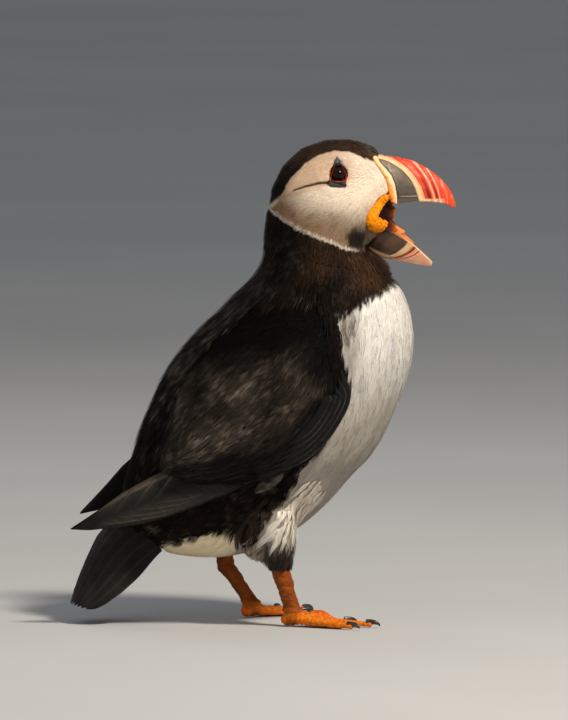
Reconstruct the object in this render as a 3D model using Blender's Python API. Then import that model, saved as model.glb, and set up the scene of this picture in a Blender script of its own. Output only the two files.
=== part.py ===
"""Atlantic puffin, life size, standing and calling with its bill open: a still museum model.

The bird faces +X, +Y is its left and +Z is up. Lengths here are millimetres until
`new_object` turns them into metres. Z is the height above the floor, and X is measured
from the middle of the bird's length. The solids give the outline of the plumage.

A body rib is (top point, bottom point, half width, cheek), where a point is (x, z) and cheek
is how much wider the rib's lower half is than its upper half.
"""

import math

import bmesh
import bpy
import numpy as np
from mathutils import Matrix, Vector
from mathutils.bvhtree import BVHTree

MM = 0.001
GAP = 0.3  # clearance across a thin cut
LET_IN = 0.6  # clearance round a piece that is let into its neighbour
NEAR, FAR = -1, 1  # the right side is -Y, the left side is +Y

BODY_SIDES = 24  # points round a body rib
BODY_RINGS = 32  # rings from the rump to the bill

TRUNK_RIBS = [
    ((-62.4, 47.5), (-45.1, 29.9), 11.5, 0.0),
    ((-59.8, 62.2), (-29.2, 27.3), 18.5, 0.0),
    ((-55.5, 76.4), (-12.0, 27.9), 26.0, 0.0),
    ((-48.6, 93.7), (9.5, 36.0), 32.0, 0.05),
    ((-40.9, 110.0), (25.4, 48.0), 36.5, 0.05),
    ((-30.5, 123.4), (38.3, 62.2), 39.0, 0.05),
    ((-19.4, 134.2), (49.0, 75.6), 40.0, 0.03),
    ((-9.9, 144.1), (58.0, 94.5), 39.0, 0.0),
    ((-3.0, 152.3), (63.6, 110.9), 36.5, 0.0),
]
NECK_RIBS = [
    ((-0.5, 158.0), (64.7, 126.0), 33.0, 0.0),
    ((-0.6, 164.0), (61.5, 138.9), 29.5, 0.0),
    ((0.0, 170.0), (56.3, 149.2), 26.5, 0.03),
    ((0.9, 176.9), (51.6, 156.0), 24.3, 0.06),
]
HEAD_RIBS = [
    ((2.1, 182.9), (47.6, 158.9), 22.8, 0.10),
    ((4.3, 190.7), (46.6, 160.0), 22.0, 0.14),
    ((8.6, 198.0), (46.2, 160.4), 21.5, 0.16),
    ((15.0, 204.0), (46.1, 160.6), 21.0, 0.17),
    ((23.6, 207.7), (46.0, 160.8), 20.0, 0.18),
    ((33.8, 209.1), (46.0, 161.0), 18.0, 0.18),
    ((42.3, 207.4), (46.4, 161.1), 15.0, 0.14),
    ((47.8, 203.9), (47.2, 161.3), 11.8, 0.08),
    ((54.0, 199.0), (50.5, 162.0), 9.2, 0.04),
    ((62.0, 193.0), (56.0, 164.0), 6.8, 0.0),
]

# Each thin cut is a plane across the body, given by a point at the back and one in front.
HEAD_CUT = ((0.5, 179.5), (47.5, 157.2))
NECK_CUT = ((-0.5, 160.0), (58.0, 148.5))
TAIL_CUT = ((-62.0, 50.0), (-44.0, 31.5))

# The face ends along this line, from the forehead down round the corner of the mouth to the chin.
FACE_FRONT = [
    (44.5, 212.0),
    (47.0, 202.5),
    (50.0, 195.5),
    (53.0, 189.0),
    (53.8, 185.6),
    (50.2, 182.6),
    (47.6, 178.0),
    (47.8, 172.5),
    (46.6, 166.0),
    (44.4, 160.5),
    (43.5, 150.0),
]

# A bill rib is (outer edge, cutting edge, half width, bow): bow is how far its middle arches forward.
CERE_RIBS = [
    ((47.4, 201.9), (55.0, 181.9), 8.4, 1.6),
    ((51.0, 201.8), (57.9, 180.7), 7.7, 2.2),
]
UPPER_BILL_RIBS = [
    ((51.7, 201.0), (58.3, 181.0), 6.9, 2.2),
    ((58.9, 200.8), (62.5, 181.6), 6.5, 2.6),
    ((66.5, 199.0), (67.0, 181.9), 5.7, 2.6),
    ((73.0, 195.4), (71.2, 181.6), 4.8, 2.1),
    ((78.0, 189.9), (75.3, 181.2), 3.7, 1.3),
    ((80.9, 184.9), (79.0, 180.4), 2.4, 0.5),
    ((82.8, 179.3), (81.8, 178.7), 0.8, 0.0),
]
LOWER_BILL_RIBS = [
    ((45.0, 160.6), (51.6, 172.6), 6.6, 0.0),
    ((50.2, 157.6), (56.8, 169.6), 6.2, 0.6),
    ((56.5, 156.1), (61.3, 165.7), 5.3, 0.8),
    ((63.0, 155.0), (65.6, 161.9), 4.1, 0.7),
    ((68.5, 154.0), (69.9, 158.0), 2.6, 0.3),
    ((72.2, 153.5), (72.8, 155.2), 0.9, 0.0),
]
# One side of a bill's section: (height from cutting edge 0 to outer edge 1, share of half width).
BILL_SECTION = [
    (1.0, 0.0),
    (0.96, 0.26),
    (0.84, 0.46),
    (0.62, 0.66),
    (0.34, 0.84),
    (0.0, 1.0),
    (0.03, 0.74),
    (0.16, 0.38),
    (0.2, 0.0),
]

GAPE_PATH = [(54.8, 182.6), (51.3, 183.0), (47.9, 179.9), (45.9, 175.2), (47.3, 171.2), (50.6, 170.9)]
GAPE_RADII = [1.1, 1.4, 1.7, 2.1, 2.5, 1.9]
GAPE_OUT = [7.6, 8.6, 9.8, 10.4, 10.0, 8.8]  # distance from the midline
MOUTH_PATH = [(55.6, 180.2), (52.6, 178.9), (51.2, 176.2), (52.0, 173.4)]
MOUTH_HALF_WIDTH = 6.0
MOUTH_SKIN = 1.2
TONGUE_PATH = [(53.5, 171.2), (57.5, 168.8), (61.5, 165.6), (64.6, 163.0)]
TONGUE_HALF_WIDTHS = [2.6, 2.5, 1.9, 0.8]
TONGUE_HALF_HEIGHT = 0.7

EYE_CENTRE, EYE_RADIUS, EYE_PROUD = (32.3, 193.9), 3.1, 1.15
UPPER_PLATE = [(30.4, 197.6), (34.1, 197.2), (32.9, 199.6), (31.7, 201.4), (30.9, 199.6)]
LOWER_PLATE = [(27.7, 191.1), (30.2, 190.9), (32.6, 190.5), (35.2, 190.9), (35.8, 188.8), (29.2, 189.2)]
PLATE_THICK = 1.6
PLATE_PROUD = 0.5

# A wing rib is (upper edge, lower edge, middle), where an edge is (x, z, distance from the
# midline) and middle is the distance from the midline half way down.
WING_RIBS = [
    ((36.0, 129.0, 34.0), (38.2, 112.0, 36.0), 36.0, 1.6),
    ((32.0, 137.5, 32.0), (38.6, 101.0, 37.5), 40.5, 3.2),
    ((24.0, 143.0, 31.0), (35.0, 92.5, 38.5), 44.5, 5.5),
    ((11.5, 145.0, 29.5), (27.5, 81.5, 39.5), 47.5, 6.8),
    ((-2.5, 140.5, 27.5), (15.5, 70.5, 40.0), 49.0, 7.2),
    ((-15.5, 131.0, 25.5), (2.0, 63.8, 39.0), 48.5, 7.0),
    ((-28.0, 118.0, 23.5), (-12.0, 62.2, 37.0), 45.5, 6.2),
    ((-38.5, 99.0, 21.5), (-25.5, 62.2, 34.5), 40.5, 4.8),
    ((-44.0, 82.0, 20.5), (-36.5, 63.0, 32.0), 34.0, 3.0),
    ((-45.8, 73.5, 22.0), (-43.2, 66.5, 28.0), 27.0, 1.2),
]
WING_RINGS = 18
WING_POINTS = 8  # across each face of the wing

# The folded primaries as (distance from the wrist, upper edge, lower edge, thickness).
BLADE_STATIONS = [
    (0.0, 6.5, -3.5, 1.6),
    (14.0, 10.5, -6.0, 2.4),
    (31.0, 12.6, -7.2, 2.4),
    (46.0, 10.3, -7.8, 2.2),
    (58.5, 8.0, -7.0, 1.9),
    (68.0, 4.9, -5.3, 1.5),
    (77.5, 2.2, -2.9, 1.1),
    (85.2, 0.3, -0.3, 0.8),
]
BLADE_RINGS = 16
# Each side's wrist (x, z), droop below level in degrees, distances from the midline at wrist and
# tip, and how far from the wrist the blade comes out of the wing.
BLADES = {
    NEAR: ((-2.0, 69.0), 18.5, 37.0, 23.5, 0.0),
    FAR: ((-6.8, 88.5), 31.0, 38.0, 22.0, 46.0),
}
BLADE_LEAN = 0.33  # how far the blade's upper edge leans towards the midline, per unit of height

# A tail rib is (top, lower edge of the sides, half width, thickness at the middle).
TAIL_RIBS = [
    ((-60.5, 50.5), (-43.0, 31.5), 11.0, 19.0),
    ((-66.8, 43.0), (-50.4, 26.7), 14.3, 11.5),
    ((-71.0, 36.0), (-56.8, 21.6), 16.8, 6.5),
    ((-74.8, 27.5), (-63.2, 16.0), 18.1, 4.0),
    ((-78.6, 18.5), (-69.8, 11.0), 17.6, 2.6),
    ((-81.4, 12.0), (-75.0, 8.0), 15.0, 1.8),
    ((-83.4, 7.8), (-79.6, 6.0), 9.5, 1.0),
]
TAIL_RINGS = 12
TAIL_POINTS = 11  # across each face of the tail
TAIL_ARCH = math.radians(82)
TAIL_EDGE = 0.7

# Each leg's distance from the midline, knee and hock (x, z), ankle x, and how many degrees
# the foot turns out.
LEGS = {
    NEAR: {"out": 22.5, "knee": (0.5, 50.0), "hock": (7.7, 23.6), "ankle": 12.7, "heading": 10.0},
    FAR: {"out": 20.5, "knee": (-14.0, 46.0), "hock": (-15.9, 22.2), "ankle": -5.2, "heading": 45.0},
}
# Shares of the way down a leg piece, with its half depth (fore and aft) and half width.
THIGH_STATIONS = [(0.0, 13.0, 11.0), (0.3, 12.0, 10.0), (0.6, 9.6, 8.0), (0.85, 6.8, 6.0), (1.0, 4.9, 4.5)]
SHANK_STATIONS = [(0.0, 4.1, 3.4), (0.2, 4.2, 3.6), (0.42, 3.6, 3.0), (0.7, 3.5, 2.9), (1.0, 4.6, 3.8)]
LEG_SIDES = 14

# Toes: (angle from the foot's heading, positive towards the midline, and length without the claw).
TOES = {"outer": (-23.0, 29.0), "middle": (0.0, 33.0), "inner": (26.0, 24.0)}
TOE_HEIGHT, TOE_TIP_HEIGHT, TOE_SPREAD = 4.8, 3.6, 2.2
WEB_THICK = 1.3
HEEL_RADIUS = 5.6
ANKLE_TOP = 6.5  # the foot is flat here, and the shank stands over it
ANKLE_RADIUS = 3.4
TOE_SPOKES = (-9, -4, 0, 4, 9)  # degrees either side of each toe
TOE_ROUNDING = 0.55  # height of a toe's outer edge, as a share of the toe's height
FOOT_RINGS = 8
CLAW_LENGTH, CLAW_RADIUS = 5.0, 1.5

PALETTE = {
    "black_plumage": ((0.018, 0.016, 0.016), 0.75),
    "white_plumage": ((0.82, 0.79, 0.73), 0.8),
    "face_plumage": ((0.62, 0.57, 0.51), 0.85),
    "orange_skin": ((0.72, 0.22, 0.04), 0.45),
    "gape_yellow": ((0.93, 0.45, 0.01), 0.5),
    "mouth_orange": ((0.55, 0.16, 0.02), 0.4),
    "bill_horn": ((0.78, 0.13, 0.05), 0.35),
    "cere_horn": ((0.90, 0.62, 0.30), 0.45),
    "eye_plate_horn": ((0.10, 0.11, 0.13), 0.5),
    "eye_dark": ((0.02, 0.01, 0.008), 0.08),
    "claw_horn": ((0.015, 0.013, 0.012), 0.4),
}


def clear_scene():
    for obj in list(bpy.data.objects):
        bpy.data.objects.remove(obj)


def material(slot):
    """The plain material of one palette entry, made once."""
    made = bpy.data.materials.get(slot)
    if made is None:
        colour, roughness = PALETTE[slot]
        made = bpy.data.materials.new(slot)
        made.use_nodes = True
        shader = made.node_tree.nodes["Principled BSDF"]
        shader.inputs["Base Color"].default_value = (*colour, 1.0)
        shader.inputs["Roughness"].default_value = roughness
    return made


def new_object(name, points, faces, slot):
    """A closed mesh object from points in millimetres, with its faces pointing out."""
    mesh = bpy.data.meshes.new(name)
    shape = bmesh.new()
    corners = [shape.verts.new(Vector(p) * MM) for p in points]
    for face in faces:
        shape.faces.new([corners[i] for i in face])
    bmesh.ops.recalc_face_normals(shape, faces=shape.faces)
    shape.to_mesh(mesh)
    shape.free()
    mesh.materials.append(material(slot))
    mesh.shade_smooth()
    mesh.set_sharp_from_angle(angle=math.radians(50))
    obj = bpy.data.objects.new(name, mesh)
    bpy.context.scene.collection.objects.link(obj)
    return obj


def loft(name, rings, slot):
    """A solid through rings of equally many points, closed by a flat cap at each end."""
    sides = len(rings[0])
    points = [p for ring in rings for p in ring]
    faces = [list(range(sides)), list(range(len(points) - sides, len(points)))]
    for r in range(len(rings) - 1):
        low, high = r * sides, (r + 1) * sides
        for i in range(sides):
            j = (i + 1) % sides
            faces.append([low + i, low + j, high + j, high + i])
    return new_object(name, points, faces, slot)


def smooth_rows(rows, count):
    """`count` rows on a smooth curve through these rows of numbers, evenly spaced by length."""
    rows = np.array([np.hstack(row) for row in rows], float)
    steps = np.linalg.norm(np.diff(rows, axis=0), axis=1)
    keys = np.concatenate([[0.0], np.cumsum(steps)])
    slopes = np.gradient(rows, keys, axis=0)
    at = np.linspace(0.0, keys[-1], count)
    i = np.clip(np.searchsorted(keys, at, side="right") - 1, 0, len(keys) - 2)
    width = keys[i + 1] - keys[i]
    t = ((at - keys[i]) / width)[:, None]
    width = width[:, None]
    return (
        (2 * t**3 - 3 * t**2 + 1) * rows[i]
        + (t**3 - 2 * t**2 + t) * width * slopes[i]
        + (3 * t**2 - 2 * t**3) * rows[i + 1]
        + (t**3 - t**2) * width * slopes[i + 1]
    )


def body_ring(row):
    """One rib of the body as a ring of points, rounded and a little square at the flanks."""
    top_x, top_z, low_x, low_z, half_width, cheek = row
    ring = []
    for k in range(BODY_SIDES):
        angle = 2 * math.pi * k / BODY_SIDES
        up, side = math.cos(angle), math.sin(angle)
        out = half_width * math.copysign(abs(side) ** 0.9, side) * (1 - cheek * up)
        share = (up + 1) / 2
        ring.append((low_x + (top_x - low_x) * share, out, low_z + (top_z - low_z) * share))
    return ring


def body_section(name, lower_cut, upper_cut, slot):
    """The length of the whole body between two thin cuts, each a (back point, front point) or None."""
    rows = smooth_rows(TRUNK_RIBS + NECK_RIBS + HEAD_RIBS, BODY_RINGS)
    piece = loft(name, [body_ring(row) for row in rows], slot)
    shape = bmesh.new()
    shape.from_mesh(piece.data)
    for cut, keep in ((lower_cut, 1), (upper_cut, -1)):
        if cut is None:
            continue
        (back_x, back_z), (front_x, front_z) = cut
        normal = Vector((back_z - front_z, 0, front_x - back_x)).normalized() * keep
        point = Vector((back_x, 0, back_z)) + normal * GAP / 2
        everything = shape.verts[:] + shape.edges[:] + shape.faces[:]
        bmesh.ops.bisect_plane(
            shape, geom=everything, plane_co=point * MM, plane_no=normal, clear_inner=True
        )
        rim = [edge for edge in shape.edges if edge.is_boundary]
        bmesh.ops.edgenet_fill(shape, edges=rim)
    bmesh.ops.recalc_face_normals(shape, faces=shape.faces)
    shape.to_mesh(piece.data)
    shape.free()
    return piece


def bill_ring(row, section):
    """One rib of the bill. The section runs over the outside and back through the hollow inside."""
    outer, edge, half_width, bow = Vector(row[:2]), Vector(row[2:4]), row[4], row[5]
    up = outer - edge
    forward = Vector((up.y, -up.x)).normalized()
    half = []
    for height, share in section:
        point = edge + up * height + forward * bow * 4 * height * (1 - height)
        half.append((point.x, half_width * share, point.y))
    other = [(x, -y, z) for x, y, z in half[-2:0:-1]]
    return half + other


def bill_part(name, ribs, rings, slot, section=BILL_SECTION):
    rows = smooth_rows(ribs, rings)
    return loft(name, [bill_ring(row, section) for row in rows], slot)


def ellipse_ring(centre, axis_a, axis_b, sides):
    ring = []
    for k in range(sides):
        angle = 2 * math.pi * k / sides
        ring.append(centre + axis_a * math.cos(angle) + axis_b * math.sin(angle))
    return ring


def carve(target, tool, gap=LET_IN):
    """Cuts the tool's shape, grown by the gap, out of the target."""
    cutter = tool.copy()
    cutter.data = tool.data.copy()
    cutter.name = f"cut_{tool.name}_from_{target.name}"
    bpy.context.scene.collection.objects.link(cutter)
    if gap:
        swell = cutter.modifiers.new("swell", "DISPLACE")
        swell.mid_level = 0.0
        swell.strength = gap * MM
    cutter.hide_render = True
    cutter.display_type = "WIRE"
    cut = target.modifiers.new(cutter.name, "BOOLEAN")
    cut.operation = "DIFFERENCE"
    cut.object = cutter


def prism(name, outline, y_low, y_high, slot):
    """A flat (x, z) outline carried from one distance from the midline to another."""
    rings = [[(x, y, z) for x, z in outline] for y in (y_low, y_high)]
    return loft(name, rings, slot)


def side_name(stem, side):
    return f"{stem}_{'right' if side == NEAR else 'left'}"


def make_wing(side):
    """Coverts, scapulars and secondaries as one lens that wraps the flank."""
    rings = []
    flat = [(*upper, *lower, middle, thick) for upper, lower, middle, thick in WING_RIBS]
    for row in smooth_rows(flat, WING_RINGS):
        upper, lower, middle, thick = Vector(row[:3]), Vector(row[3:6]), row[6], row[7]
        outer, inner = [], []
        for k in range(WING_POINTS):
            t = k / (WING_POINTS - 1)
            bulge = middle - (upper.z + lower.z) / 2
            point = upper.lerp(lower, t)
            out = point.z + bulge * 4 * t * (1 - t)
            depth = 0.8 + thick * math.sin(math.pi * t) ** 0.6 if 0 < t < 1 else 0.8
            outer.append((point.x, side * out, point.y))
            inner.append((point.x, side * (out - depth), point.y))
        rings.append(outer + inner[::-1])
    return loft(side_name("wing", side), rings, "black_plumage")


def make_primaries(side):
    """The pointed blade of folded flight feathers that runs out behind the wing."""
    (wrist_x, wrist_z), droop, wrist_out, tip_out, start = BLADES[side]
    along = Vector((-math.cos(math.radians(droop)), -math.sin(math.radians(droop))))
    up = Vector((along.y, -along.x))
    length = BLADE_STATIONS[-1][0]
    rings = []
    for distance, upper, lower, thick in smooth_rows(BLADE_STATIONS, BLADE_RINGS):
        if distance < start:
            continue
        out = wrist_out + (tip_out - wrist_out) * distance / length
        outer, inner = [], []
        for t in (0.0, 0.2, 0.5, 0.8, 1.0):
            height = upper + (lower - upper) * t
            x, z = Vector((wrist_x, wrist_z)) + along * distance + up * height
            lean = out - BLADE_LEAN * height
            depth = max(0.7, thick * math.sin(math.pi * t) ** 0.5)
            outer.append((x, side * lean, z))
            inner.append((x, side * (lean - depth), z))
        rings.append(outer + inner[::-1])
    return loft(side_name("primaries", side), rings, "black_plumage")


def make_tail():
    """The folded tail: an arched fan, thick at the rump and thin at its rounded end."""
    rings = []
    for row in smooth_rows(TAIL_RIBS, TAIL_RINGS):
        top, low, half_width, thick = Vector(row[:2]), Vector(row[2:4]), row[4], row[5]
        drop = low - top
        outer, inner = [], []
        for k in range(TAIL_POINTS):
            angle = TAIL_ARCH * (2 * k / (TAIL_POINTS - 1) - 1)
            fall = (1 - math.cos(angle)) / (1 - math.cos(TAIL_ARCH))
            width = half_width * math.sin(angle) / math.sin(TAIL_ARCH)
            depth = max(TAIL_EDGE, thick * (1 - fall))
            outer_at = top + drop * fall
            inner_at = outer_at + drop.normalized() * depth
            outer.append((outer_at.x, width, outer_at.y))
            inner.append((inner_at.x, width * 0.97, inner_at.y))
        rings.append(outer + inner[::-1])
    return loft("tail", rings, "black_plumage")


def leg_tube(name, start, end, out, stations, slot):
    """A limb length between two (x, z) points, from (share, half depth, half width) stations."""
    top = Vector((start[0], out, start[1]))
    bottom = Vector((end[0], out, end[1]))
    rings = []
    for share, half_depth, half_width in smooth_rows(stations, 2 * len(stations) - 1):
        centre = top.lerp(bottom, share)
        rings.append(ellipse_ring(centre, Vector((half_depth, 0, 0)), Vector((0, half_width, 0)), LEG_SIDES))
    return loft(name, rings, slot)


def toe_profile(side, spoke):
    """How far the foot reaches along a spoke, by the angle from its heading."""
    angles = sorted((angle * -side, length) for angle, length in TOES.values())
    if spoke <= angles[0][0] or spoke >= angles[-1][0]:
        edge, length = angles[0] if spoke <= angles[0][0] else angles[-1]
        past = abs(spoke - edge)
        return HEEL_RADIUS + (length - HEEL_RADIUS) * math.exp(-((past / 6.5) ** 2))
    for (low, low_length), (high, high_length) in zip(angles, angles[1:]):
        if low <= spoke <= high:
            t = (spoke - low) / (high - low)
            straight = low_length + (high_length - low_length) * t
            return straight * (1 - 0.2 * math.sin(math.pi * t) ** 0.7)
    return HEEL_RADIUS


def foot_height(side, distance, spoke):
    """Top of the foot: the web, the toes that stand up from it, and the rise to the ankle."""
    height = WEB_THICK
    for angle, length in TOES.values():
        away = math.radians(spoke - angle * -side)
        if abs(away) > math.pi / 2:
            continue
        off_axis, along = distance * math.sin(away), distance * math.cos(away)
        tall = TOE_HEIGHT + (TOE_TIP_HEIGHT - TOE_HEIGHT) * min(1.0, along / length)
        toe = (tall - WEB_THICK) * math.exp(-((off_axis / TOE_SPREAD) ** 2))
        height = max(height, WEB_THICK + toe)
    return min(ANKLE_TOP, height + 2 * ANKLE_TOP * math.exp(-((distance / HEEL_RADIUS) ** 2)))


def make_foot(side):
    """Three webbed toes round the ankle, flat underneath, from rings of spokes that crowd at the toes."""
    leg = LEGS[side]
    centre = Vector((leg["ankle"], side * leg["out"]))
    toes = [angle * -side for angle, _ in TOES.values()]
    spokes = set(range(-180, 180, 15)) | {toe + step for toe in toes for step in TOE_SPOKES}
    spokes = sorted(s for s in spokes if all(abs(s - toe) > 9 or s - toe in TOE_SPOKES for toe in toes))
    rings = []
    for ring in range(FOOT_RINGS + 1):
        share = ring / FOOT_RINGS
        points = []
        for spoke in spokes:
            reach = ANKLE_RADIUS + (toe_profile(side, spoke) - ANKLE_RADIUS) * share
            turn = math.radians(leg["heading"] * side + spoke)
            height = foot_height(side, reach, spoke) * (TOE_ROUNDING if ring == FOOT_RINGS else 1)
            points.append((centre.x + reach * math.cos(turn), centre.y + reach * math.sin(turn), height))
        rings.append(points)
    rings.append([(x, y, 0.0) for x, y, _ in rings[-1]])
    return loft(side_name("foot", side), rings, "orange_skin")


def make_claw(side, toe):
    """A short hooked cone at the end of a toe."""
    leg = LEGS[side]
    angle, length = TOES[toe]
    turn = math.radians(leg["heading"] * side + angle * -side)
    ahead = Vector((math.cos(turn), math.sin(turn), 0))
    start = Vector((leg["ankle"], side * leg["out"], 0)) + ahead * (length + GAP)
    across = Vector((0, 0, 1)).cross(ahead)
    rings = []
    for share in (0.0, 0.25, 0.5, 0.75, 1.0):
        radius = CLAW_RADIUS * (1 - share) ** 0.7 + 0.28
        rise = 2.3 + 0.9 * math.sin(math.pi * share * 0.75) - 1.9 * share**2
        centre = start + ahead * CLAW_LENGTH * share + Vector((0, 0, rise))
        rings.append(ellipse_ring(centre, across * radius * 0.8, Vector((0, 0, radius)), 10))
    return loft(f"{side_name('claw', side)}_{toe}", rings, "claw_horn")


def make_gape(side):
    """The fleshy rosette round the corner of the mouth: a fat crescent that thickens downwards."""
    rows = [(x, z, r, out) for (x, z), r, out in zip(GAPE_PATH, GAPE_RADII, GAPE_OUT)]
    rows = smooth_rows(rows, 11)
    rings = []
    for i, (x, z, radius, out) in enumerate(rows):
        before, after = rows[max(i - 1, 0)], rows[min(i + 1, len(rows) - 1)]
        along = Vector((after[0] - before[0], 0, after[1] - before[1])).normalized()
        across = Vector((0, 1, 0)).cross(along)
        centre = Vector((x, side * out, z))
        rings.append(ellipse_ring(centre, across * radius, Vector((0, radius * 0.75, 0)), 10))
    return loft(side_name("gape", side), rings, "gape_yellow")


def make_mouth():
    """The skin that closes the back of the open mouth, from palate to tongue root."""
    rows = smooth_rows(MOUTH_PATH, 9)
    rings = []
    for i, (x, z) in enumerate(rows):
        before, after = rows[max(i - 1, 0)], rows[min(i + 1, len(rows) - 1)]
        along = Vector((after[0] - before[0], after[1] - before[1])).normalized()
        front = Vector((x, z))
        back = front + Vector((along.y, -along.x)) * MOUTH_SKIN
        half = MOUTH_HALF_WIDTH
        rings.append([(p.x, y, p.y) for p, y in ((front, -half), (front, half), (back, half), (back, -half))])
    return loft("mouth", rings, "mouth_orange")


def make_tongue():
    rows = [(x, z, w) for (x, z), w in zip(TONGUE_PATH, TONGUE_HALF_WIDTHS)]
    rings = []
    for x, z, half_width in smooth_rows(rows, 9):
        up = Vector((0.6, 0, 0.8)) * TONGUE_HALF_HEIGHT
        rings.append(ellipse_ring(Vector((x, 0, z)), Vector((0, half_width, 0)), up, 12))
    return loft("tongue", rings, "mouth_orange")


def half_width_at(surface, x, z):
    """How far from the midline the surface (a BVH tree) lies at this (x, z)."""
    place, _, _, _ = surface.ray_cast(Vector((x, -100, z)) * MM, Vector((0, 1, 0)))
    return abs(place.y) / MM


def make_eye(side, out):
    centre = Vector((EYE_CENTRE[0], side * (out - EYE_RADIUS + EYE_PROUD), EYE_CENTRE[1]))
    mesh = bpy.data.meshes.new("eye")
    shape = bmesh.new()
    bmesh.ops.create_uvsphere(
        shape,
        u_segments=16,
        v_segments=8,
        radius=EYE_RADIUS * MM,
        matrix=Matrix.Translation(centre * MM) @ Matrix.Rotation(math.pi / 2, 4, "X"),
    )
    shape.to_mesh(mesh)
    shape.free()
    mesh.materials.append(material("eye_dark"))
    mesh.shade_smooth()
    eye = bpy.data.objects.new(side_name("eye", side), mesh)
    bpy.context.scene.collection.objects.link(eye)
    return eye


def make_plate(stem, side, outline, face):
    """A small horny plate set into the face above or below the eye."""
    outs = [half_width_at(face, x, z) + PLATE_PROUD for x, z in outline]
    outer = [(x, side * out, z) for (x, z), out in zip(outline, outs)]
    inner = [(x, side * (out - PLATE_THICK), z) for (x, z), out in zip(outline, outs)]
    return loft(side_name(stem, side), [outer, inner], "eye_plate_horn")


def make_head():
    """The head with its eyes, eye plates, bill, gape and mouth, each let into the face."""
    head = body_section("head", HEAD_CUT, None, "face_plumage")
    face = BVHTree.FromPolygons([v.co for v in head.data.vertices], [f.vertices for f in head.data.polygons])
    outline = [tuple(p) for p in smooth_rows(FACE_FRONT, 25)] + [(95.0, 150.0), (95.0, 212.0)]
    front = prism("face_front", outline, -30.0, 30.0, "face_plumage")
    bills = [
        bill_part("cere", CERE_RIBS, 4, "cere_horn"),
        bill_part("bill_upper", UPPER_BILL_RIBS, 16, "bill_horn"),
        bill_part("bill_lower", LOWER_BILL_RIBS, 14, "bill_horn"),
    ]
    mouth, tongue = make_mouth(), make_tongue()
    carve(mouth, bills[0])
    carve(mouth, bills[2])
    carve(tongue, bills[2])
    carve(tongue, mouth)
    carve(head, front, gap=0.0)
    bpy.data.objects.remove(front)
    for side in (NEAR, FAR):
        eye = make_eye(side, half_width_at(face, *EYE_CENTRE))
        for stem, plate in (("eye_plate_upper", UPPER_PLATE), ("eye_plate_lower", LOWER_PLATE)):
            made = make_plate(stem, side, plate, face)
            carve(made, eye)
            carve(head, made)
        gape = make_gape(side)
        for bill in bills:
            carve(gape, bill)
        carve(gape, mouth)
        carve(head, gape)
        carve(head, eye)
    for neighbour in (mouth, bills[0], bills[2]):
        carve(head, neighbour)
    return head


def make_legs(trunk):
    for side in (NEAR, FAR):
        leg = LEGS[side]
        out = side * leg["out"]
        make_foot(side)
        ankle = (leg["ankle"], ANKLE_TOP + GAP)
        shank = leg_tube(side_name("shank", side), leg["hock"], ankle, out, SHANK_STATIONS, "orange_skin")
        thigh_name = side_name("thigh", side)
        thigh = leg_tube(thigh_name, leg["knee"], leg["hock"], out, THIGH_STATIONS, "white_plumage")
        carve(thigh, trunk)
        carve(thigh, shank)
        for toe in TOES:
            make_claw(side, toe)


def make_bird():
    trunk = body_section("trunk", TAIL_CUT, NECK_CUT, "white_plumage")
    neck = body_section("neck", NECK_CUT, HEAD_CUT, "black_plumage")
    make_head()
    tail = make_tail()
    carve(tail, trunk)
    make_legs(trunk)
    for side in (NEAR, FAR):
        wing = make_wing(side)
        blade = make_primaries(side)
        carve(blade, wing)
        for piece in (trunk, neck, tail):
            carve(piece, wing)
        for piece in (trunk, tail):
            carve(piece, blade)


clear_scene()
make_bird()
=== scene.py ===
"""The looks of a life-size Atlantic puffin: skin, feathers, bill, eyes, mouth, legs and claws.

Lengths are millimetres until `add_mesh` turns them into metres. The bird faces +X, its right side
is -Y and +Z is up, as in the frame. Outlines given as (x, z) points are seen from the bird's side.
"""

import math
from functools import cache
from itertools import product

import bmesh
import bpy
import numpy as np
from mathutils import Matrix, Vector
from mathutils.bvhtree import BVHTree


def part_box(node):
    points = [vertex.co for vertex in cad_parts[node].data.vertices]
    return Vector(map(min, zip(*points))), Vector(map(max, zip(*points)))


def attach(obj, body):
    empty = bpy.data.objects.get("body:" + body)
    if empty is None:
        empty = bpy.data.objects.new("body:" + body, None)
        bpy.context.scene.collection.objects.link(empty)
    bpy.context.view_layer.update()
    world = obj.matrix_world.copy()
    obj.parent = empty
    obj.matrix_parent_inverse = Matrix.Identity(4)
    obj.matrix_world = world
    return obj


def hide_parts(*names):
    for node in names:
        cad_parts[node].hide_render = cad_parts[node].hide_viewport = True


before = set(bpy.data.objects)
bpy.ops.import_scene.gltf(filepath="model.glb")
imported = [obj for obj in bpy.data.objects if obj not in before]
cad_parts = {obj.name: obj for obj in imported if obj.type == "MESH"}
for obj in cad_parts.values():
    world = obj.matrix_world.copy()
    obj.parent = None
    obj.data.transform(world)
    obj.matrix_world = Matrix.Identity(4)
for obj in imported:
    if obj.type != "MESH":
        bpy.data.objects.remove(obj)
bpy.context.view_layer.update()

MM = 0.001
FAR = 1e9
SIDES = {"right": -1, "left": 1}
OUT = {side: np.array([0.0, float(sign), 0.0]) for side, sign in SIDES.items()}
UP = np.array([0.0, 0.0, 1.0])

# ---------------------------------------------------------------- numbers, noise and curves


def unit(v):
    return v / np.maximum(np.linalg.norm(v, axis=-1, keepdims=True), 1e-9)


def xyz(p):
    return np.moveaxis(p, -1, 0)


def from_side(flat, y):
    """3-D points or directions from (x, z) ones."""
    return np.stack([flat[..., 0], np.broadcast_to(y, flat.shape[:-1]), flat[..., 1]], axis=-1)


def ease(low, high, x):
    """Rises smoothly from 0 at `low` to 1 at `high`, which may be the smaller."""
    t = np.clip((x - low) / (high - low), 0.0, 1.0)
    return t * t * (3 - 2 * t)


def band(q, low, high, soft=0.12):
    return ease(low - soft, low + soft, q) * ease(high + soft, high - soft, q)


def bell(x, middle, width):
    return np.exp(-(((x - middle) / width) ** 2))


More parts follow.
